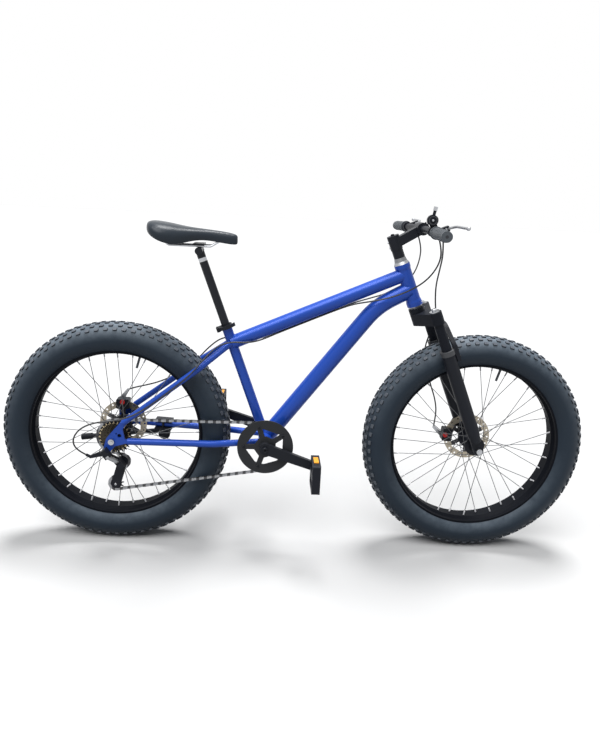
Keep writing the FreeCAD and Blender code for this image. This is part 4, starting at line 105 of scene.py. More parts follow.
# Bands of another finish: from and to, along the axis or out from the axle that each is measured on
BEARING_CUP = (50.02 * MM, 100 * MM)
ADJUSTING_KNOB = (-1 * MM, 2.45 * MM)
POST_COLLAR = (-36 * MM, -24 * MM)
FORK_CAP = (-23.98 * MM, -19.9 * MM)
FORK_CAP_SIDE = (30 * MM, 200 * MM)
DUST_SEAL = (-171.98 * MM, -150 * MM)
DUST_SEAL_DEPTH = (-30 * MM, 21.4 * MM)
HEADSET_CONE = (150 * MM, 164.25 * MM)
NIPPLE = (251.5 * MM, 300 * MM)
LARGEST_COG = (0, 50 * MM)
RING_BEHIND_GUARD = (0, 77 * MM)
PEDAL_END = (47.02 * MM, 100 * MM)
GRIP_FACE = (328 * MM, 500 * MM)
LEVER_CAP = (28.02 * MM, 60 * MM)
# Radii where a finish changes
DISC_CARRIER = 58 * MM
COG_TEETH = 45.2 * MM
SIDEWALL = 312 * MM
GRIP_HOLE = 4.5 * MM
LEVER_GROOVE = 11.5 * MM

CABLE_RADIUS = 2.5 * MM
# Cable routes, in millimetres, each from its lever to what it pulls
CABLE_ROUTES = {
    "shift_cable": (
        (384, -128, 1066), (398, -126, 1028), (396, -112, 982), (372, -84, 932), (330, -58, 895),
        (275, -43, 868), (215, -33, 851), (160, -14, 837), (110, -5, 815), (50, -4, 788),
        (-20, -4, 756.5), (-90, -5, 725), (-140, -14, 703), (-183, -31, 699), (-228, -38, 702),
        (-272, -50, 690), (-312, -70, 650), (-345, -88, 608), (-390, -94, 568), (-440, -98, 527),
        (-490, -103, 489), (-540, -112, 462), (-592, -119, 452), (-645, -121, 446), (-690, -120, 424),
        (-714, -117, 386), (-704, -112, 350), (-674, -108, 333),
    ),
    "rear_brake_cable": (
        (388, 160, 1064), (402, 150, 1026), (398, 130, 980), (374, 95, 930), (332, 64, 893),
        (277, 46, 867), (217, 34, 850), (162, 14, 836), (112, 5, 816), (52, 4, 789),
        (-18, 4, 757.4), (-88, 5, 726), (-138, 14, 704), (-181, 31, 700), (-226, 38, 703),
        (-270, 50, 692), (-312, 70, 652), (-345, 88, 610), (-390, 94, 570), (-436, 98, 538),
        (-486, 100, 515), (-530, 98, 503), (-562, 95, 496), (-585, 94, 488),
    ),
    "front_brake_cable_line": (
        (388, -160, 1064), (396, -150, 1020), (396, -126, 970), (400, -88, 920), (414, -44, 872),
        (434, 10, 828), (449, 54, 801), (460, 86, 776), (456, 107, 745), (446, 111, 710),
        (437, 107, 676), (436, 98, 636), (448, 84, 590), (462, 78, 545), (478, 76, 505),
        (488, 75.5, 465), (488, 75, 430), (485, 75, 398),
    ),
}

# Where each cable's boot starts inside its clamp on the bar, in millimetres
BOOT_ROOTS = {
    "shift_cable": (366, -143, 1079),
    "rear_brake_cable": (366, 178, 1079),
    "front_brake_cable_line": (366, -161, 1079),
}
# A boot's outline: share of its length from the clamp, then its radius in millimetres
BOOT_OUTLINE = (
    (0.0, 5.2), (0.2, 5.2), (0.27, 4.3), (0.35, 5.0), (0.42, 4.2), (0.5, 4.8), (0.57, 4.0), (0.65, 4.5),
    (0.72, 3.9), (0.95, 3.4), (1.0, 2.9),
)
# How far a boot's bend lies before its cable's start, and its tip after it
BOOT_BEND = 9 * MM
BOOT_TIP = 8 * MM

# Saddle: share of the length from the tail, then half width and heights of top, skirt's edge and base in mm
SADDLE_ROWS = (
    (0.0, 26, 1066, 1050, 1056),
    (0.012, 46, 1071, 1043, 1049),
    (0.05, 68, 1074.5, 1031, 1040),
    (0.12, 80, 1074, 1019, 1035),
    (0.21, 83, 1071, 1009, 1030),
    (0.32, 73, 1065.5, 1004, 1027),
    (0.42, 58, 1060.5, 1010, 1024),
    (0.53, 43, 1057, 1019, 1022),
    (0.65, 30, 1054, 1021, 1019.5),
    (0.77, 24, 1051, 1016, 1018),
    (0.88, 22.5, 1047.5, 1011, 1018),
    (0.96, 20, 1043, 1009, 1019),
    (0.99, 17, 1039, 1010, 1020),
    (1.0, 12, 1034, 1013, 1021),
)
# One half of a section: share of the half width, then height as shares of top, skirt and base
SADDLE_SECTION = (
    (0, 1.0, 0.0, 0.0), (0.34, 0.985, 0.015, 0.0), (0.64, 0.91, 0.09, 0.0), (0.86, 0.74, 0.26, 0.0),
    (0.98, 0.48, 0.52, 0.0), (1.0, 0.22, 0.78, 0.0), (0.96, 0.05, 0.95, 0.0), (0.88, 0.0, 1.0, 0.0),
    (0.78, 0.0, 0.6, 0.4), (0.62, 0.0, 0.1, 0.9), (0, 0.0, 0.0, 1.0),
)

# Tyre beads: radii of their outside and inside, and half the width between them
BEAD_OUTER = 283.1 * MM
BEAD_INNER = 280.5 * MM
BEAD_LIP = 35.2 * MM
# A knob's corners as shares of its half sizes, then its rows: growth of the corners, share of the height
KNOB_CORNERS = ((1, 0.6), (0.7, 1), (-0.7, 1), (-1, 0.6), (-1, -0.6), (-0.7, -1), (0.7, -1), (1, -0.6))
KNOB_ROWS = ((1.12, -0.5), (0.98, 0.8), (0.84, 1.0))
# A screw head's rings: radius, height and whether the ring is the hexagon of the socket
HEAD_RINGS = (
    (1.0, -0.25, False), (1.0, 0.75, False), (0.82, 0.95, False), (0.5, 0.95, True), (0.46, 0.45, True),
)
HEXAGON_FLAT = 0.87


def in_fork(forward, side, up):
    """A point of the fork in the row frame, from millimetres along the steering frame."""
    return HEAD_FOOT + (STEER_FORWARD * forward + LEFT * side + STEER_UP * up) * MM


# Settings


def size(name, description, millimetres):
    return FloatProperty(name=name, description=description, default=millimetres * MM, unit="LENGTH")


def angle(name, description, radians):
    return FloatProperty(name=name, description=description, default=radians, subtype="ANGLE")


def number(name, description, value):
    return FloatProperty(name=name, description=description, default=value)


def count(name, description, value):
    return IntProperty(name=name, description=description, default=value)


def colour(name, description, value):
    return FloatVectorProperty(name=name, description=description, default=value, subtype="COLOR")


class TyreSettings(bpy.types.PropertyGroup):
    """Sizes of the tyres and their knobs."""

    ring: size("Ring", "Radius of the casing's middle line", 319)
    section: size("Section", "Radius of the casing's round", 51)
    wall: size("Wall", "Thickness of the casing", 4.5)
    knob_rows: count("Knob rows", "Rows of knobs across the tread", 6)
    knobs_per_row: count("Knobs per row", "Knobs in one row", 76)
    row_step: angle("Row step", "Angle between rows round the section", math.radians(18.5))
    knob_length: size("Knob length", "Along the tyre", 14)
    knob_width: size("Knob width", "Across the tyre", 10)
    knob_height: size("Knob height", "Above the casing", 4)


class FinishSettings(bpy.types.PropertyGroup):
    """Colours of the bike's finishes."""

    frame_blue: colour("Frame blue", "Paint of the frame", (0.0125, 0.069, 0.425))
    black: colour("Black", "Paint of the black metal", (0.0085, 0.0100, 0.0145))
    rubber: colour("Rubber", "Tyre rubber", (0.0155, 0.025, 0.038))
    steel: colour("Steel", "Bright steel", (0.45, 0.46, 0.48))
    amber: colour("Amber", "Reflectors", (0.85, 0.36, 0.02))
    red: colour("Red", "Adjusting knobs", (0.62, 0.03, 0.03))


class StageSettings(bpy.types.PropertyGroup):
    """The floor, the lights and the camera."""

    floor_size: size("Floor size", "Side of the floor", 60000)
    key_strength: number("Key", "Strength of the light from above and behind", 3.4)
    fill_strength: number("Fill", "Strength of the light from the front", 2.9)
    around: number("Around", "Strength of the light from all round", 0.17)
    camera_place: FloatVectorProperty(
        name="Camera place", description="Where the camera stands", default=(-0.11877, -1.93278, 1.16475),
        unit="LENGTH",
    )
    camera_yaw: angle("Yaw", "Turn to the right", 0.039414)
    camera_pitch: angle("Pitch", "Tilt down", 0.201877)
    camera_roll: angle("Roll", "Turn about the view", 0.047525)
    camera_lens: number("Lens", "Focal length in millimetres", 29.164)
    camera_shift: FloatVectorProperty(
        name="Shift", description="Shift of the view", default=(0.01375, -0.0715), size=2
    )


# Nodes


def feed(tree, socket, value):
    """Link an input to another socket, or set it to a value."""
    if hasattr(value, "is_output"):
        tree.links.new(value, socket)
    else:
        socket.default_value = (*value, 1) if socket.type == "RGBA" and len(value) == 3 else value


def new_node(tree, kind, *first, **named):
    """A node whose first inputs, and those named, are fed."""
    node = tree.nodes.new(kind)
    for socket, value in zip(node.inputs, first):
        feed(tree, socket, value)
    for label, value in named.items():
        feed(tree, node.inputs[label.replace("_", " ")], value)
    return node


def math_node(tree, operation, *operands):
    node = tree.nodes.new("ShaderNodeMath")
    node.operation = operation
    for socket, value in zip(node.inputs, operands):
        feed(tree, socket, value)
    return node.outputs[0]


def vector_node(tree, operation, first, second=None):
    node = tree.nodes.new("ShaderNodeVectorMath")
    node.operation = operation
    feed(tree, node.inputs[0], first)
    if second is not None:
        feed(tree, node.inputs["Scale" if operation == "SCALE" else 1], second)
    return node.outputs["Value" if operation in ("DOT_PRODUCT", "LENGTH") else "Vector"]


def mix_colour(tree, factor, first, second):
    node = tree.nodes.new("ShaderNodeMix")
    node.data_type = "RGBA"
    for slot, value in ((0, factor), (6, first), (7, second)):
        feed(tree, node.inputs[slot], value)
    return node.outputs[2]


def object_place(tree):
    return tree.nodes.new("ShaderNodeTexCoord").outputs["Object"]


def noise(tree, scale, detail):
    node = new_node(tree, "ShaderNodeTexNoise", Vector=object_place(tree), Scale=scale, Detail=detail)
    return node.outputs[0]


def new_group(kind, name, inputs, outputs):
    """An empty node group with sockets from (name, type) and, for some inputs, a default."""
    group = bpy.data.node_groups.new(name, kind)
    for way, sockets in (("INPUT", inputs), ("OUTPUT", outputs)):
        for label, socket_type, *default in sockets:
            socket = group.interface.new_socket(label, in_out=way, socket_type=f"NodeSocket{socket_type}")
            if default:
                socket.default_value = default[0]
    return group, group.nodes.new("NodeGroupInput").outputs, group.nodes.new("NodeGroupOutput").inputs


# Shader node groups


def grain_group():
    """Mottled colour, a fine height and a slow cloud, from object coordinates."""
    group, given, result = new_group(
        "ShaderNodeTree",
        "Grain",
        (
            ("Dark", "Color", (0, 0, 0, 1)), ("Light", "Color", (1, 1, 1, 1)),
            ("Cloud Scale", "Float", 6.0), ("Grain Scale", "Float", 400.0),
        ),
        (("Colour", "Color"), ("Height", "Float"), ("Cloud", "Float")),
    )
    cloud = noise(group, given["Cloud Scale"], 3)
    fine = noise(group, given["Grain Scale"], 4)
    blended = math_node(group, "ADD", math_node(group, "MULTIPLY", cloud, 0.6), fine)
    share = math_node(group, "MULTIPLY", blended, 0.62)
    feed(group, result["Colour"], mix_colour(group, share, given["Dark"], given["Light"]))
    feed(group, result["Height"], fine)
    feed(group, result["Cloud"], cloud)
    return group


def span_group():
    """1 between two distances along an axis from an origin, and 0 elsewhere."""
    group, given, result = new_group(
        "ShaderNodeTree",
        "Span",
        (
            ("Origin", "Vector", (0, 0, 0)), ("Axis", "Vector", (0, 0, 1)),
            ("Low", "Float", 0.0), ("High", "Float", 1.0),
        ),
        (("Mask", "Float"),),
    )
    offset = vector_node(group, "SUBTRACT", object_place(group), given["Origin"])
    along = vector_node(group, "DOT_PRODUCT", offset, given["Axis"])
    above = math_node(group, "GREATER_THAN", along, given["Low"])
    below = math_node(group, "LESS_THAN", along, given["High"])
    feed(group, result["Mask"], math_node(group, "MULTIPLY", above, below))
    return group


def reach_group():
    """The distance from an axle across the bike, for rings on wheels and cranks."""
    group, given, result = new_group(
        "ShaderNodeTree", "Reach", (("Centre", "Vector", (0, 0, 0)),), (("Distance", "Float"),)
    )
    offset = vector_node(group, "SUBTRACT", object_place(group), given["Centre"])
    flat = vector_node(group, "MULTIPLY", offset, (1, 0, 1))
    feed(group, result["Distance"], vector_node(group, "LENGTH", flat))
    return group


def dust_and_top_light_group():
    """A thin broken film where a surface looks up: a dusty film on most finishes, and painted top light on
    the tyres.
    """
    group, given, result = new_group(
        "ShaderNodeTree", "Dust_and_top_light", (("Amount", "Float", 0.2),), (("Mask", "Float"),)
    )
    facing = group.nodes.new("ShaderNodeTexCoord").outputs["Normal"]
    up = new_node(group, "ShaderNodeSeparateXYZ", facing).outputs["Z"]
    broken = math_node(group, "MULTIPLY", math_node(group, "MAXIMUM", up, 0.0), noise(group, 38, 5))
    feed(group, result["Mask"], math_node(group, "MULTIPLY", broken, given["Amount"]))
    return group


GROUPS = {}


def place_group(tree, name, **values):
    """A node of a shader group, with its inputs fed."""
    node = tree.nodes.new("ShaderNodeGroup")
    node.node_tree = GROUPS[name]
    for label, value in values.items():
        feed(tree, node.inputs[label.replace("_", " ")], value)
    return node.outputs


class Finish:
    """A material under way: its tree, its Principled shader and what feeds it."""

    def __init__(self, name, dark, light, rough, metal=0.0, cloud=6.0, grain=400.0, bump=0.02, spread=0.08):
        self.material = bpy.data.materials.new(name)
        self.material.use_nodes = True
        self.tree = self.material.node_tree
        self.shader = self.tree.nodes["Principled BSDF"]
        self.plain(Metallic=metal)
        given = place_group(self.tree, "Grain", Dark=dark, Light=light, Cloud_Scale=cloud, Grain_Scale=grain)
        self.colour = given["Colour"]
        self.height = given["Height"]
        self.rough = self.calc("ADD", self.calc("MULTIPLY", given["Cloud"], spread * 2), rough - spread)
        self.bump = bump

    def calc(self, operation, *operands):
        return math_node(self.tree, operation, *operands)

    def plain(self, **sockets):
        """Numbers that are the same all over, set on the shader itself."""
        for label, value in sockets.items():
            self.shader.inputs[label.replace("_", " ")].default_value = value
        return self

    def paint(self, mask, colour, rough=None):
        """Another colour, and roughness, where the mask is 1."""
        self.colour = mix_colour(self.tree, mask, self.colour, colour)
        if rough is not None:
            keep = self.calc("MULTIPLY", self.rough, self.calc("SUBTRACT", 1.0, mask))
            self.rough = self.calc("ADD", keep, self.calc("MULTIPLY", mask, rough))
        return self

    def metal(self, mask):
        feed(self.tree, self.shader.inputs["Metallic"], mask)
        return self

    def plate(self, mask, rough, tone=1.0):
        """Bright steel where the mask is 1."""
        return self.paint(mask, shade(finishes().steel, tone), rough).metal(mask)

    def emboss(self, height, share=1.0):
        self.height = self.calc("ADD", self.height, self.calc("MULTIPLY", height, share))

    def span(self, origin, axis, low, high):
        return place_group(self.tree, "Span", Origin=origin, Axis=axis, Low=low, High=high)["Mask"]

    def reach(self, centre):
        return place_group(self.tree, "Reach", Centre=centre)["Distance"]

    # Lightens upward faces: a dusty film on most finishes and painted top light on the tyres
    def dust_and_top_light(self, amount, colour=(0.35, 0.34, 0.33)):
        return self.paint(place_group(self.tree, "Dust_and_top_light", Amount=amount)["Mask"], colour, 0.8)

    def done(self):
        relief = new_node(self.tree, "ShaderNodeBump", Strength=self.bump, Distance=MM, Height=self.height)
        for label, value in (
            ("Base Color", self.colour), ("Roughness", self.rough), ("Normal", relief.outputs["Normal"])
        ):
            feed(self.tree, self.shader.inputs[label], value)
        return self.material


def shade(colour, factor):
    return tuple(min(channel * factor, 1.0) for channel in colour)


def finishes():
    return bpy.context.scene.fat_bike_finish


# Finishes


def frame_paint(name):
    blue = finishes().frame_blue
    finish = Finish(name, shade(blue, 0.9), shade(blue, 1.12), 0.34, 0.15, cloud=3, grain=900, bump=0.03)
    return finish.plain(Coat_Weight=0.18, Coat_Roughness=0.16, Specular_IOR_Level=0.22)


def black_finish(name, rough=0.42, grain=700, coat=0.0, tone=1.0):
    black = shade(finishes().black, tone)
    finish = Finish(name, shade(black, 0.75), shade(black, 1.6), rough, cloud=8, grain=grain, bump=0.05)
    return finish.plain(Coat_Weight=coat, Coat_Roughness=0.1, Specular_IOR_Level=0.17)


def bright_finish(name, rough=0.2, tone=1.0):
    dark, light = (shade(finishes().steel, part * tone) for part in (0.82, 1.1))
    return Finish(name, dark, light, rough, 1.0, cloud=14, grain=1200, bump=0.03)


def rubber_finish(name, colour, rough=0.62, grain=900, bump=0.25):
    return Finish(name, shade(colour, 0.8), shade(colour, 1.35), rough, cloud=9, grain=grain, bump=bump)


def blue_frame_finish():
    return frame_paint("frame_blue_paint").done()


def bracket_finish():
    """Blue shell with black bearing cups."""
    finish = frame_paint("bracket_blue_paint")
    for way in (RIGHT, LEFT):
        finish.paint(finish.span(ORIGIN, way, *BEARING_CUP), finishes().black, 0.4)
    return finish.done()


def satin_black_finish():
    return black_finish("satin_black_metal").dust_and_top_light(0.05).done()


def gloss_black_finish():
    return black_finish("gloss_black_metal", 0.45).done()


def rim_finish():
    return black_finish("rim_black", 0.5, tone=0.6).plain(Specular_IOR_Level=0.05).done()


def caliper_finish(end):
    """Satin black with a red adjusting knob on the side that looks at the spokes."""
    finish = black_finish(f"{end}_caliper_black", 0.4)
    edge = Vector((0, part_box(f"{end}_caliper")[0].y, 0))
    return finish.paint(finish.span(edge, LEFT, *ADJUSTING_KNOB), finishes().red, 0.3).done()


def moulded_black_finish():
    finish = black_finish("moulded_black_plastic", 0.55, grain=1500)
    finish.bump = 0.16
    return finish.done()


def seatpost_finish():
    """Satin black with a bright collar under the head."""
    finish = black_finish("seatpost_black", 0.3, coat=0.1)
    return finish.plate(finish.span(POST_HEAD, SEAT_UP, *POST_COLLAR), 0.25).done()


def fork_upper_finish():
    """Black crown and stanchions with bright caps."""
    finish = black_finish("fork_crown_black", 0.5).plain(Specular_IOR_Level=0.1)
    caps = finish.span(HEAD_FOOT, STEER_UP, *FORK_CAP)
    sides = finish.calc("ADD", *(finish.span(ORIGIN, way, *FORK_CAP_SIDE) for way in (LEFT, RIGHT)))
    return finish.plate(finish.calc("MULTIPLY", caps, sides), 0.25).done()


def fork_lower_finish():
    """Satin black legs with grey wiper seals."""
    finish = black_finish("fork_leg_black", 0.46)
    seals = finish.span(HEAD_FOOT, STEER_UP, *DUST_SEAL)
    near = finish.span(in_fork(LEG_FORWARD, 0, 0), STEER_FORWARD, *DUST_SEAL_DEPTH)
    return finish.paint(finish.calc("MULTIPLY", seals, near), (0.085, 0.088, 0.095), 0.3).dust_and_top_light(0.06).done()


def stem_finish():
    """Black stem and spacer over a bright cone."""
    finish = black_finish("stem_black", 0.36)
    return finish.plate(finish.span(HEAD_FOOT, STEER_UP, *HEADSET_CONE), 0.45, 0.5).done()


def chrome_finish():
    return bright_finish("bright_chrome", 0.42, 0.95).plain(Metallic=0.85).done()


def steel_finish():
    return bright_finish("brushed_steel", 0.32).done()


def spoke_finish():
    """Grey steel spokes with pale nipples at the rim."""
    finish = bright_finish("spoke_steel", 0.42, 0.3)
    pale = 0.0
    for centre in (REAR_AXLE, FRONT_AXLE):
        reach = finish.reach(centre)
        outer = finish.calc("GREATER_THAN", reach, NIPPLE[0])
        inner = finish.calc("LESS_THAN", reach, NIPPLE[1])
        nipple = finish.calc("MULTIPLY", outer, inner)
        finish.paint(nipple, (0.8, 0.8, 0.82), 0.3)
        pale = finish.calc("ADD", nipple, pale)
    return finish.metal(finish.calc("SUBTRACT", 1.0, pale)).done()


def disc_finish():
    """Brushed disc with fine rings left by the pads, on a dark carrier."""
    finish = Finish(
        "brake_disc_steel", (0.30, 0.26, 0.20), (0.52, 0.47, 0.38), 0.32, 1.0, cloud=30, grain=900, bump=0.05
    )
    for centre in (REAR_AXLE, FRONT_AXLE):
        reach = finish.reach(centre)
        finish.paint(finish.calc("LESS_THAN", reach, DISC_CARRIER), (0.06, 0.06, 0.065), 0.45)
        finish.emboss(finish.calc("SINE", finish.calc("MULTIPLY", reach, 9000.0)), 0.3)
    return finish.done()


def chain_finish():
    """Bright outer plates with painted shade in dark bands where the inner ones sit, along the chain's runs.
    """
    finish = bright_finish("chain_steel", 0.34, 0.66)
    along = new_node(finish.tree, "ShaderNodeSeparateXYZ", object_place(finish.tree)).outputs["X"]
    wave = finish.calc("SINE", finish.calc("MULTIPLY", along, 2 * math.pi / CHAIN_STEP))
    # Painted shade: one dark band per link step, where the recessed inner plates sit between the bright
    # outer ones
    finish.paint(finish.calc("GREATER_THAN", wave, 0.3), (0.07, 0.07, 0.074), 0.4)
    return finish.dust_and_top_light(0.12, (0.09, 0.08, 0.07)).done()


def cog_finish():
    """Dark bronze cogs with a bright ring of teeth before a black largest cog."""
    dark, light = (0.028, 0.024, 0.017), (0.075, 0.063, 0.045)
    finish = Finish("cog_bronze", dark, light, 0.36, 0.8, cloud=20, grain=900)
    teeth = finish.calc("GREATER_THAN", finish.reach(REAR_AXLE), COG_TEETH)
    finish.paint(teeth, (0.55, 0.46, 0.30), 0.34)
    return finish.paint(finish.span(ORIGIN, RIGHT, *LARGEST_COG), finishes().black, 0.4).done()


def ring_finish():
    """Dark steel ring behind a satin black guard."""
    dark, light = (0.016, 0.017, 0.019), (0.03, 0.032, 0.036)
    finish = Finish("chainring_black", dark, light, 0.45, grain=900, bump=0.08)
    finish.paint(finish.span(ORIGIN, RIGHT, *RING_BEHIND_GUARD), (0.1, 0.1, 0.105), 0.34)
    return finish.plain(Specular_IOR_Level=0.2).dust_and_top_light(0.04).done()


def pedal_finish(side):
    """Black cage with amber reflectors at its ends."""
    finish = black_finish(f"pedal_{side}_black", 0.5, grain=1500)
    for way in ((0, 0, -1), (0, 0, 1)):
        end = finish.span(joint_place(f"pedal_{side}_spin"), way, *PEDAL_END)
        finish.paint(end, finishes().amber, 0.16)
    return finish.done()


def grip_finish():
    """Grey rubber with painted shade for a hole in each end: a black disc in the middle of the end face."""
    finish = rubber_finish("grip_rubber", (0.066, 0.076, 0.088), 0.6)
    # Painted shade: a black disc on each end face where the grip's hole would look dark
    hole = finish.calc("LESS_THAN", finish.reach(GRIP_END), GRIP_HOLE)
    for way in (RIGHT, LEFT):
        end = finish.span(ORIGIN, way, *GRIP_FACE)
        finish.paint(finish.calc("MULTIPLY", hole, end), finishes().black, 0.6)
    return finish.plain(Sheen_Weight=0.12, Sheen_Roughness=0.4).dust_and_top_light(0.1).done()


def tyre_finish(name, centre):
    """Dark rubber with fine mould rings on the sidewall, painted top light on its upward faces, painted
    shade on the knobs' sides and painted highlights on the knob tops.
    """
    sizes = bpy.context.scene.fat_bike_tyre
    finish = rubber_finish(name, finishes().rubber, 0.5)
    calc = finish.calc
    reach = finish.reach(centre)
    line = calc("GREATER_THAN", calc("SINE", calc("MULTIPLY", reach, 1450.0)), 0.93)
    finish.emboss(calc("MULTIPLY", line, calc("LESS_THAN", reach, SIDEWALL)), 0.7)
    across = new_node(finish.tree, "ShaderNodeSeparateXYZ", object_place(finish.tree)).outputs["Y"]
    out = calc("POWER", calc("SUBTRACT", reach, sizes.ring), 2.0)
    side = calc("POWER", calc("ABSOLUTE", across), 2.0)
    depth = calc("SQRT", calc("ADD", out, side))
    knob_side_shade, top = (
        calc("GREATER_THAN", depth, sizes.section + sizes.knob_height * share) for share in (0.1, 0.7)
    )
    # Painted top light: upward faces lightened in broken patches with a pale blue-grey, standing in for the
    # light from above
    finish.dust_and_top_light(0.6, (0.36, 0.43, 0.5))
    # Painted shade: the knobs' sides, from just above the casing, darkened almost to black
    finish.paint(calc("MULTIPLY", knob_side_shade, 0.9), (0.003, 0.0035, 0.0045))
    # Painted highlight: the knob tops lightened, standing in for the light they catch
    finish.paint(calc("MULTIPLY", top, 0.85), (0.115, 0.13, 0.155), 0.4)
    return finish.plain(Specular_IOR_Level=0.2, Sheen_Weight=0.1, Sheen_Roughness=0.35).done()


def cable_finish():
    return rubber_finish("cable_cover_black", (0.014, 0.014, 0.015), 0.36, bump=0.05).done()


def saddle_finish():
    """Black vinyl with a fine leather grain."""
    finish = rubber_finish("saddle_vinyl", (0.017, 0.024, 0.033), 0.3, grain=260, bump=0.2)
    cells = new_node(finish.tree, "ShaderNodeTexVoronoi", Vector=object_place(finish.tree), Scale=520)
    finish.emboss(cells.outputs["Distance"])
    return finish.plain(Sheen_Weight=0.02, Sheen_Roughness=0.4, Specular_IOR_Level=0.22).dust_and_top_light(0.02).done()


def shift_lever_finish():
    """Black lever with a grey groove round its hub and a bright cap."""
    finish = black_finish("shift_lever_black", 0.5)
    centre = joint_place("shift_lever_turn")
    off = finish.calc("ABSOLUTE", finish.calc("SUBTRACT", finish.reach(centre), LEVER_GROOVE))
    finish.paint(finish.calc("LESS_THAN", off, MM), (0.09, 0.092, 0.1), 0.35)
    lean_way = STEER_UP * math.cos(LEVER_LEAN) + STEER_FORWARD * math.sin(LEVER_LEAN)
    return finish.plate(finish.span(centre, lean_way, *LEVER_CAP), 0.22).done()


NODE_FINISHES = (
    (blue_frame_finish, (
        "head_tube", "top_tube", "down_tube", "seat_tube", "chainstays", "seatstays", "dropouts",
    )),
    (bracket_finish, ("bottom_bracket",)),
    (satin_black_finish, (
        "seat_clamp", "seat_clamp_lever", "kickstand", "kickstand_bracket", "crank_arm_right",
        "crank_arm_left", "rear_hub", "front_hub", "derailleur_bracket", "derailleur_link_inner",
        "derailleur_knuckle", "derailleur_cage",
    )),
    (gloss_black_finish, ("handlebar",)),
    (seatpost_finish, ("seatpost",)),
    (rim_finish, ("rear_rim", "front_rim")),
    (moulded_black_finish, ("bar_clamps", "guide_pulley", "tension_pulley")),
    (fork_upper_finish, ("fork_upper",)),
    (fork_lower_finish, ("fork_lowers",)),
    (stem_finish, ("stem",)),
    (chrome_finish, ("headset", "brake_lever_right", "brake_lever_left")),
    (steel_finish, (
        "rear_axle", "front_axle", "crank_axles", "saddle_rails", "rear_brake_arm", "front_brake_arm",
        "derailleur_link_outer",
    )),
    (spoke_finish, ("rear_spokes", "front_spokes")),
    (disc_finish, ("rear_brake_disc", "front_brake_disc")),
    (chain_finish, ("chain",)),
    (cog_finish, ("freewheel",)),
    (ring_finish, ("chainring",)),
    (grip_finish, ("grips", "rear_inner_tube", "front_inner_tube")),
    (shift_lever_finish, ("shift_lever",)),
)


def dress(name, material):
    slots = NODES[name].data.materials
    slots.clear()
    slots.append(material)


class FATBIKE_OT_finishes(bpy.types.Operator):
    """Give every piece of the frame its finish"""

    bl_idname = "fat_bike.finishes"
    bl_label = "Finishes"

    def execute(self, context):
        for make, names in NODE_FINISHES:
            material = make()
            for name in names:
                dress(name, material)
        for end in ("rear", "front"):
            dress(f"{end}_caliper", caliper_finish(end))
        for side in ("right", "left"):
            dress(f"pedal_{side}", pedal_finish(side))
        return {"FINISHED"}


# Geometry


def add_object(name, data):
    item = bpy.data.objects.new(name, data)
    bpy.context.scene.collection.objects.link(item)
    return item


def new_piece(name, mesh, material):
    if not mesh.materials:
        mesh.materials.append(material)
    return add_object(name, mesh)


def made_mesh(piece):
    """The mesh that a piece gives once its curve and its modifiers are worked out."""
    graph = bpy.context.evaluated_depsgraph_get()
    return bpy.data.meshes.new_from_object(piece.evaluated_get(graph))


def circle(steps, phase=0.0):
    """Cosine and sine of each of the even steps of a full turn."""
    for k in range(steps):
        turn = 2 * math.pi * k / steps + phase
        yield math.cos(turn), math.sin(turn)


def skin(name, rings, sharp=None, looped=False):
    """A smooth mesh over rings of points, closed by end faces or looped, with edges sharp above an angle."""
    shape = bmesh.new()
    rows = [[shape.verts.new(point) for point in ring] for ring in rings]
    pairs = list(zip(rows, rows[1:]))
    if looped:
        pairs.append((rows[-1], rows[0]))
    for near, far in pairs:
        for i in range(len(near)):
            j = (i + 1) % len(near)
            shape.faces.new((near[i], near[j], far[j], far[i]))
    if not looped:
        shape.faces.new(rows[0])
        shape.faces.new(rows[-1])
    bmesh.ops.recalc_face_normals(shape, faces=shape.faces)
    mesh = bpy.data.meshes.new(name)
    shape.to_mesh(mesh)
    shape.free()
    mesh.shade_smooth()
    if sharp:
        mesh.set_sharp_from_angle(angle=math.radians(sharp))
    return mesh


def geometry_group(name, inputs):
    geometry = ("Geometry", "Geometry")
    return new_group("GeometryNodeTree", name, (geometry, *inputs), (geometry,))


def end_tree(tree, given, result, geometry):
    """Realised instances with the material of the tree's input."""
    real = new_node(tree, "GeometryNodeRealizeInstances", geometry).outputs[0]
    coat = new_node(tree, "GeometryNodeSetMaterial", Geometry=real, Material=given["Material"])
    feed(tree, result[0], coat.outputs[0])


def run_tree(name, tree, base, values):
    """The mesh that a tree makes of a base mesh, as a plain mesh."""
    carrier = add_object(f"{name}_carrier", base)
    modifier = carrier.modifiers.new(name, "NODES")
    modifier.node_group = tree
    for socket in tree.interface.items_tree:
        if socket.in_out == "INPUT" and socket.name in values:
            modifier[socket.identifier] = values[socket.name]
    mesh = made_mesh(carrier)
    mesh.name = name
    bpy.data.objects.remove(carrier)
    return mesh


# Tyres


def knob_block(settings):
    """One knob: a block with sloped sides, standing on the origin and sunk into the casing."""
    wide, deep, high = settings.knob_length / 2, settings.knob_width / 2, settings.knob_height
    rings = [
        [(x * wide * grow, y * deep * grow, high * share) for x, y in KNOB_CORNERS]
        for grow, share in KNOB_ROWS
    ]
    return skin("knob", rings, 30)


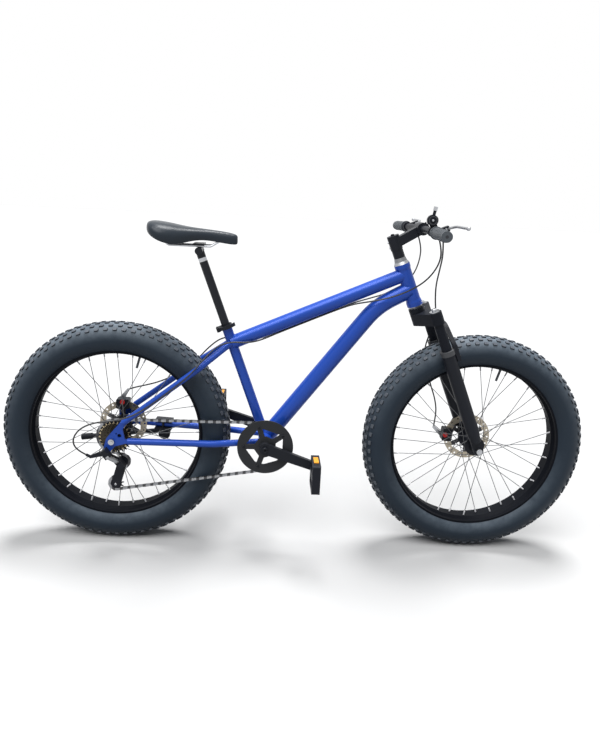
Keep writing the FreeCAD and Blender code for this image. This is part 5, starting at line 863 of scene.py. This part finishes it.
def knob_tree():
    """Staggered rows of knobs round a tyre, by row and place in the row."""
    tree, given, result = geometry_group(
        "Tyre knobs",
        (
            ("Knob", "Object"), ("Material", "Material"), ("Centre", "Vector"), ("Ring", "Float"),
            ("Section", "Float"), ("Rows", "Int"), ("Per Row", "Int"), ("Row Step", "Float"),
        ),
    )

    def calc(operation, *operands):
        return math_node(tree, operation, *operands)

    def combined(x, y, z):
        return new_node(tree, "ShaderNodeCombineXYZ", x, y, z).outputs[0]

    index = tree.nodes.new("GeometryNodeInputIndex").outputs[0]
    row = calc("FLOOR", calc("DIVIDE", calc("ADD", index, 0.5), given["Per Row"]))
    stagger = calc("MULTIPLY", calc("MODULO", row, 2.0), 0.5)
    step = calc("DIVIDE", 2 * math.pi, given["Per Row"])
    turn = calc("MULTIPLY", calc("ADD", index, stagger), step)
    middle = calc("DIVIDE", calc("SUBTRACT", given["Rows"], 1.0), 2.0)
    lean = calc("MULTIPLY", calc("SUBTRACT", row, middle), given["Row Step"])
    cos_turn, sin_turn = (calc(name, turn) for name in ("COSINE", "SINE"))
    cos_lean, sin_lean = (calc(name, lean) for name in ("COSINE", "SINE"))
    out = combined(calc("MULTIPLY", cos_lean, cos_turn), sin_lean, calc("MULTIPLY", cos_lean, sin_turn))
    along = combined(calc("MULTIPLY", sin_turn, -1.0), 0.0, cos_turn)
    place = given["Centre"]
    for way, distance in ((combined(cos_turn, 0.0, sin_turn), "Ring"), (out, "Section")):
        place = vector_node(tree, "ADD", place, vector_node(tree, "SCALE", way, given[distance]))
    total = calc("MULTIPLY", given["Rows"], given["Per Row"])
    points = new_node(tree, "GeometryNodePoints", Count=total, Position=place).outputs[0]
    turned = tree.nodes.new("FunctionNodeAxesToRotation")
    turned.primary_axis = "Z"
    turned.secondary_axis = "X"
    feed(tree, turned.inputs[0], out)
    feed(tree, turned.inputs[1], along)
    knob = new_node(tree, "GeometryNodeObjectInfo", Object=given["Knob"]).outputs["Geometry"]
    copies = new_node(
        tree, "GeometryNodeInstanceOnPoints", Points=points, Instance=knob, Rotation=turned.outputs[0]
    )
    both = tree.nodes.new("GeometryNodeJoinGeometry")
    feed(tree, both.inputs[0], given["Geometry"])
    feed(tree, both.inputs[0], copies.outputs[0])
    end_tree(tree, given, result, both.outputs[0])
    return tree


def casing_mesh(centre, settings, segments=180, steps=40):
    """The tyre's casing: its round outside, a lip at each bead and the inside, turned about the axle."""
    inner_section = settings.section - settings.wall
    outer_end = math.acos((BEAD_OUTER - settings.ring) / settings.section)
    inner_end = math.acos((BEAD_INNER - settings.ring) / inner_section)

    def on_section(radius, lean):
        return settings.ring + radius * math.cos(lean), radius * math.sin(lean)

    profile = [on_section(settings.section, outer_end * (2 * i / steps - 1)) for i in range(steps + 1)]
    profile += [(BEAD_OUTER, BEAD_LIP), (BEAD_INNER, BEAD_LIP)]
    profile += [on_section(inner_section, inner_end * (1 - 4 * i / steps)) for i in range(steps // 2 + 1)]
    profile += [(BEAD_INNER, -BEAD_LIP), (BEAD_OUTER, -BEAD_LIP)]
    rings = [
        [centre + Vector((cos * radius, side, sin * radius)) for radius, side in profile]
        for cos, sin in circle(segments)
    ]
    return skin("casing", rings, 35, looped=True)


class FATBIKE_OT_tyres(bpy.types.Operator):
    """Make both tyres with their knobs"""

    bl_idname = "fat_bike.tyres"
    bl_label = "Tyres"

    def execute(self, context):
        settings = context.scene.fat_bike_tyre
        tree = knob_tree()
        knob = add_object("knob_pattern", knob_block(settings))
        for end, centre in (("rear", REAR_AXLE), ("front", FRONT_AXLE)):
            material = tyre_finish(f"{end}_tyre_rubber", centre)
            values = {
                "Knob": knob, "Material": material, "Centre": tuple(centre), "Ring": settings.ring,
                "Section": settings.section, "Rows": settings.knob_rows, "Per Row": settings.knobs_per_row,
                "Row Step": settings.row_step,
            }
            mesh = run_tree(f"{end}_knobbed_tyre", tree, casing_mesh(centre, settings), values)
            piece = new_piece(f"{end}_knobbed_tyre", mesh, material)
            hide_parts(f"{end}_tyre")
            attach(piece, f"{end}_wheel")
        bpy.data.objects.remove(knob)
        return {"FINISHED"}


# Cables


def cable_shape(name, route):
    """The points of a route's one smooth spline, and the tube along it."""
    line = bpy.data.curves.new(name, "CURVE")
    line.dimensions = "3D"
    spline = line.splines.new("NURBS")
    spline.points.add(len(route) - 1)
    for point, place in zip(spline.points, route):
        point.co = (*(value * MM for value in place), 1)
    spline.order_u = 3
    spline.use_endpoint_u = True
    spline.resolution_u = 8
    carrier = add_object(f"{name}_line", line)
    path = [point.co.copy() for point in made_mesh(carrier).vertices]
    line.bevel_depth = CABLE_RADIUS
    line.bevel_resolution = 3
    line.use_fill_caps = True
    tube = made_mesh(carrier)
    tube.name = name
    tube.shade_smooth()
    bpy.data.objects.remove(carrier)
    return path, tube


class FATBIKE_OT_cables(bpy.types.Operator):
    """Lay the shift and brake cables along their routes"""

    bl_idname = "fat_bike.cables"
    bl_label = "Cables"

    def execute(self, context):
        material = cable_finish()
        for name, route in CABLE_ROUTES.items():
            path, tube = cable_shape(name, route)
            piece = new_piece(name, tube, material)
            front = name.startswith("front")
            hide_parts("front_brake_cable" if front else "rear_cables")
            tuple(value * MM for value in route[0])
            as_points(path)
            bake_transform(piece)
        return {"FINISHED"}


def boot_mesh(name, sides=14):
    """A ribbed, tapered sleeve from a clamp on the bar to the start of its cable."""
    root = Vector(BOOT_ROOTS[name]) * MM
    first, second = (Vector(place) * MM for place in CABLE_ROUTES[name][:2])
    along = (second - first).normalized()
    bend, tip = first - along * BOOT_BEND, first + along * BOOT_TIP
    rings = []
    for share, radius in BOOT_OUTLINE:
        place = root * (1 - share) ** 2 + bend * 2 * share * (1 - share) + tip * share**2
        way = ((bend - root) * (1 - share) + (tip - bend) * share).normalized()
        across = way.cross(LEFT).normalized()
        other = way.cross(across)
        rings.append([place + (across * cos + other * sin) * radius * MM for cos, sin in circle(sides)])
    return skin(name, rings, 50)


class FATBIKE_OT_boots(bpy.types.Operator):
    """Join each cable to its clamp on the bar with a boot"""

    bl_idname = "fat_bike.boots"
    bl_label = "Cable boots"

    def execute(self, context):
        material = moulded_black_finish()
        for name in BOOT_ROOTS:
            piece = new_piece(f"{name}_boot", boot_mesh(name), material)
            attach(piece, "fork")
        return {"FINISHED"}


# Saddle


def saddle_mesh():
    """Sections from tail to nose, each a crowned top, a skirt at the sides and a raised base."""
    rings = []
    for share, wide, *heights in SADDLE_ROWS:
        x = SADDLE_LOW.x + (SADDLE_HIGH.x - SADDLE_LOW.x) * share
        half = [
            (x, side * wide * MM, sum(part * height for part, height in zip(parts, heights)) * MM)
            for side, *parts in SADDLE_SECTION
        ]
        rings.append(half + [(x, -y, z) for x, y, z in reversed(half[1:-1])])
    return skin("padded_saddle", rings)


class FATBIKE_OT_saddle(bpy.types.Operator):
    """Make the padded saddle"""

    bl_idname = "fat_bike.saddle"
    bl_label = "Saddle"

    def execute(self, context):
        piece = new_piece("padded_saddle", saddle_mesh(), saddle_finish())
        smooth = piece.modifiers.new("Smooth form", "SUBSURF")
        smooth.levels = 3
        smooth.render_levels = 3
        mesh = made_mesh(piece)
        piece.modifiers.clear()
        piece.data = mesh
        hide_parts("saddle")
        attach(piece, "seat")
        return {"FINISHED"}


# Screws


def bolt_head(sides=12):
    """A round screw head of unit radius with a hexagon socket."""
    rings = []
    for radius, height, hexagon in HEAD_RINGS:
        reaches = [radius * (HEXAGON_FLAT if hexagon and k % 2 else 1) for k in range(sides)]
        turns = zip(reaches, circle(sides))
        rings.append([(cos * reach, sin * reach, height) for reach, (cos, sin) in turns])
    return skin("bolt_head", rings, 30)


def bolt_tree():
    """A screw head on every point, looking along the point's own way and scaled by its own size."""
    tree, given, result = geometry_group("Screw heads", (("Head", "Object"), ("Material", "Material")))

    def attribute(name, kind):
        node = tree.nodes.new("GeometryNodeInputNamedAttribute")
        node.data_type = kind
        feed(tree, node.inputs["Name"], name)
        return node.outputs["Attribute"]

    turned = tree.nodes.new("FunctionNodeAlignRotationToVector")
    turned.axis = "Z"
    feed(tree, turned.inputs["Vector"], attribute("way", "FLOAT_VECTOR"))
    head = new_node(tree, "GeometryNodeObjectInfo", Object=given["Head"]).outputs["Geometry"]
    copies = new_node(
        tree, "GeometryNodeInstanceOnPoints", Points=given["Geometry"], Instance=head,
        Rotation=turned.outputs[0], Scale=attribute("size", "FLOAT"),
    )
    end_tree(tree, given, result, copies.outputs[0])
    return tree


def bolt_circle(centre, radius, bolts, side, phase=0.0):
    return [centre + Vector((cos * radius, side, sin * radius)) for cos, sin in circle(bolts, phase)]


def screw_groups():
    """Body, tone and a list of (place, way, radius) for each group of screws."""
    guard = bolt_circle(BRACKET, 69.5 * MM, 5, -82.5 * MM, math.pi / 5)
    yield "crankset", "dark", [(place, RIGHT, 4.2 * MM) for place in guard]
    yield "crankset", "dark", [(BRACKET + way * 101 * MM, way, 9 * MM) for way in (RIGHT, LEFT)]
    for end, centre in (("rear", REAR_AXLE), ("front", FRONT_AXLE)):
        disc = bolt_circle(centre, 24.5 * MM, 6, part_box(f"{end}_brake_disc")[1].y)
        yield f"{end}_wheel", "bright", [(place, LEFT, 2.6 * MM) for place in disc]
    sides = (-LEG_SIDE, LEG_SIDE)
    brace = [in_fork(72.5, side, up) for side in sides for up in (-164, -188)]
    yield "fork_lowers", "dark", [(place, STEER_FORWARD, 4 * MM) for place in brace]
    bar = [(in_fork(114, side, up), STEER_FORWARD, 3.4 * MM) for side in (-15, 15) for up in (216, 238)]
    yield "fork", "dark", [*bar, (in_fork(0, 0, 238), STEER_UP, 5.5 * MM)]
    yield "fork", "bright", [(in_fork(-19.5, 0, up), -STEER_FORWARD, 3.4 * MM) for up in (203, 222)]
    pulley = joint_place("tension_pulley_spin")
    yield "derailleur_cage", "bright", [(Vector((pulley.x, -55.6 * MM, pulley.z)), RIGHT, 4 * MM)]
    shifter, outwards = joint_place("shift_lever_turn"), joint_axis("shift_lever_turn")
    yield "shift_lever", "bright", [(shifter + outwards * 14 * MM, outwards, 3.2 * MM)]
    yield "fork", "bright", [(in_fork(LEG_FORWARD, side, -20), STEER_UP, 8 * MM) for side in sides]


class FATBIKE_OT_screws(bpy.types.Operator):
    """Set screw heads where pieces are bolted together"""

    bl_idname = "fat_bike.screws"
    bl_label = "Screws"

    def execute(self, context):
        tree = bolt_tree()
        head = add_object("screw_pattern", bolt_head())
        bright = bright_finish("screw_steel", 0.25).done()
        dark = black_finish("screw_black", 0.3).done()
        for number, (body, tone, screws) in enumerate(screw_groups()):
            name = f"{body}_screws_{number}"
            places, ways, radii = zip(*screws)
            base = bpy.data.meshes.new("screw_places")
            base.from_pydata(places, [], [])
            base.attributes.new("way", "FLOAT_VECTOR", "POINT")
            base.attributes.new("size", "FLOAT", "POINT")
            base.attributes["way"].data.foreach_set("vector", [part for way in ways for part in way])
            base.attributes["size"].data.foreach_set("value", radii)
            material = bright if tone == "bright" else dark
            mesh = run_tree(name, tree, base, {"Head": head, "Material": material})
            piece = new_piece(name, mesh, material)
            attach(piece, body)
        bpy.data.objects.remove(head)
        return {"FINISHED"}


# Stage


def seen_rays(tree):
    """1 for the rays that show the background: the camera's own, and those of mirrors and glass."""
    rays = tree.nodes.new("ShaderNodeLightPath").outputs
    mirrored = math_node(tree, "MAXIMUM", rays["Is Glossy Ray"], rays["Is Transmission Ray"])
    return math_node(tree, "MAXIMUM", rays["Is Camera Ray"], mirrored)


def floor_finish():
    """Floor that looks white in the picture, keeps the bike's shadow and throws little light back up."""
    material = bpy.data.materials.new("pale_floor")
    material.use_nodes = True
    tree = material.node_tree
    shader = tree.nodes["Principled BSDF"]
    shader.inputs["Roughness"].default_value = 0.9
    shader.inputs["Specular IOR Level"].default_value = 0.0
    tone = mix_colour(tree, seen_rays(tree), (0.22, 0.22, 0.22), (0.54, 0.54, 0.54))
    feed(tree, shader.inputs["Base Color"], tone)
    return material


def add_floor(settings):
    half = settings.floor_size / 2
    corners = [(-half, -half, 0), (half, -half, 0), (half, half, 0), (-half, half, 0)]
    mesh = bpy.data.meshes.new("floor")
    mesh.from_pydata(corners, [], [(0, 1, 2, 3)])
    floor = new_piece("floor", mesh, floor_finish())


def add_world(settings):
    """Soft light from all round, and a white background for the camera, mirrors and glass."""
    world = bpy.data.worlds.new("studio")
    bpy.context.scene.world = world
    world.use_nodes = True
    tree = world.node_tree
    background = tree.nodes["Background"]
    seen = seen_rays(tree)
    feed(tree, background.inputs["Color"], mix_colour(tree, seen, (0.93, 0.98, 1.05), (1, 1, 1)))
    soft = math_node(tree, "MULTIPLY", math_node(tree, "SUBTRACT", 1.0, seen), settings.around)
    feed(tree, background.inputs["Strength"], math_node(tree, "ADD", seen, soft))


def add_lamps(settings):
    """Two soft suns, which light the floor evenly as far as it goes."""
    lamps = (
        ("key_sun", (0.07, 0.22, 1.0), 22, settings.key_strength),
        ("fill_sun", (-0.32, -0.48, 1.0), 45, settings.fill_strength),
    )
    for name, way, spread, strength in lamps:
        lamp = bpy.data.lights.new(name, "SUN")
        lamp.energy = strength
        lamp.angle = math.radians(spread)
        item = add_object(name, lamp)
        item.rotation_euler = Vector(way).to_track_quat("Z", "Y").to_euler()


def add_camera(settings):
    """The camera that was fitted to the photograph's wheels."""
    yaw, pitch, roll = settings.camera_yaw, settings.camera_pitch, settings.camera_roll
    forward = Vector((math.sin(yaw) * math.cos(pitch), math.cos(yaw) * math.cos(pitch), -math.sin(pitch)))
    level = Vector((math.cos(yaw), -math.sin(yaw), 0))
    rise = level.cross(forward)
    right = level * math.cos(roll) + rise * math.sin(roll)
    up = rise * math.cos(roll) - level * math.sin(roll)
    lens = bpy.data.cameras.new("photo_camera")
    lens.lens = settings.camera_lens
    lens.sensor_width = 36
    lens.shift_x, lens.shift_y = settings.camera_shift
    camera = add_object("photo_camera", lens)
    turn = Matrix((right, up, -forward)).transposed().to_4x4()
    camera.matrix_world = Matrix.Translation(Vector(settings.camera_place)) @ turn
    bpy.context.scene.camera = camera


class FATBIKE_OT_stage(bpy.types.Operator):
    """Floor, lights and the camera at the photograph's angle"""

    bl_idname = "fat_bike.stage"
    bl_label = "Stage"

    def execute(self, context):
        for add in (add_floor, add_world, add_lamps, add_camera):
            add(context.scene.fat_bike_stage)
        context.scene.view_settings.view_transform = "Standard"
        return {"FINISHED"}


SETTINGS = {
    "fat_bike_tyre": TyreSettings,
    "fat_bike_finish": FinishSettings,
    "fat_bike_stage": StageSettings,
}
STEPS = (
    FATBIKE_OT_stage,
    FATBIKE_OT_cables,
    FATBIKE_OT_boots,
    FATBIKE_OT_finishes,
    FATBIKE_OT_tyres,
    FATBIKE_OT_saddle,
    FATBIKE_OT_screws,
)


class FATBIKE_PT_panel(bpy.types.Panel):
    """The steps that dress the bike"""

    bl_label = "Fat bike"
    bl_idname = "FATBIKE_PT_panel"
    bl_space_type = "VIEW_3D"
    bl_region_type = "UI"
    bl_category = "Fat bike"

    def draw(self, context):
        for step in STEPS:
            self.layout.operator(step.bl_idname)
        for group in SETTINGS:
            settings = getattr(context.scene, group)
            for name in settings.__annotations__:
                self.layout.prop(settings, name)


CLASSES = (*SETTINGS.values(), *STEPS, FATBIKE_PT_panel)


def register():
    for item in CLASSES:
        bpy.utils.register_class(item)
    for name, settings in SETTINGS.items():
        setattr(bpy.types.Scene, name, PointerProperty(type=settings))


def unregister():
    for name in SETTINGS:
        delattr(bpy.types.Scene, name)
    for item in reversed(CLASSES):
        bpy.utils.unregister_class(item)


def main():
    register()
    for make in (grain_group, span_group, reach_group, dust_and_top_light_group):
        group = make()
        GROUPS[group.name] = group
    for step in STEPS:
        area, name = step.bl_idname.split(".")
        getattr(getattr(bpy.ops, area), name)()


if __name__ == "__main__":
    main()
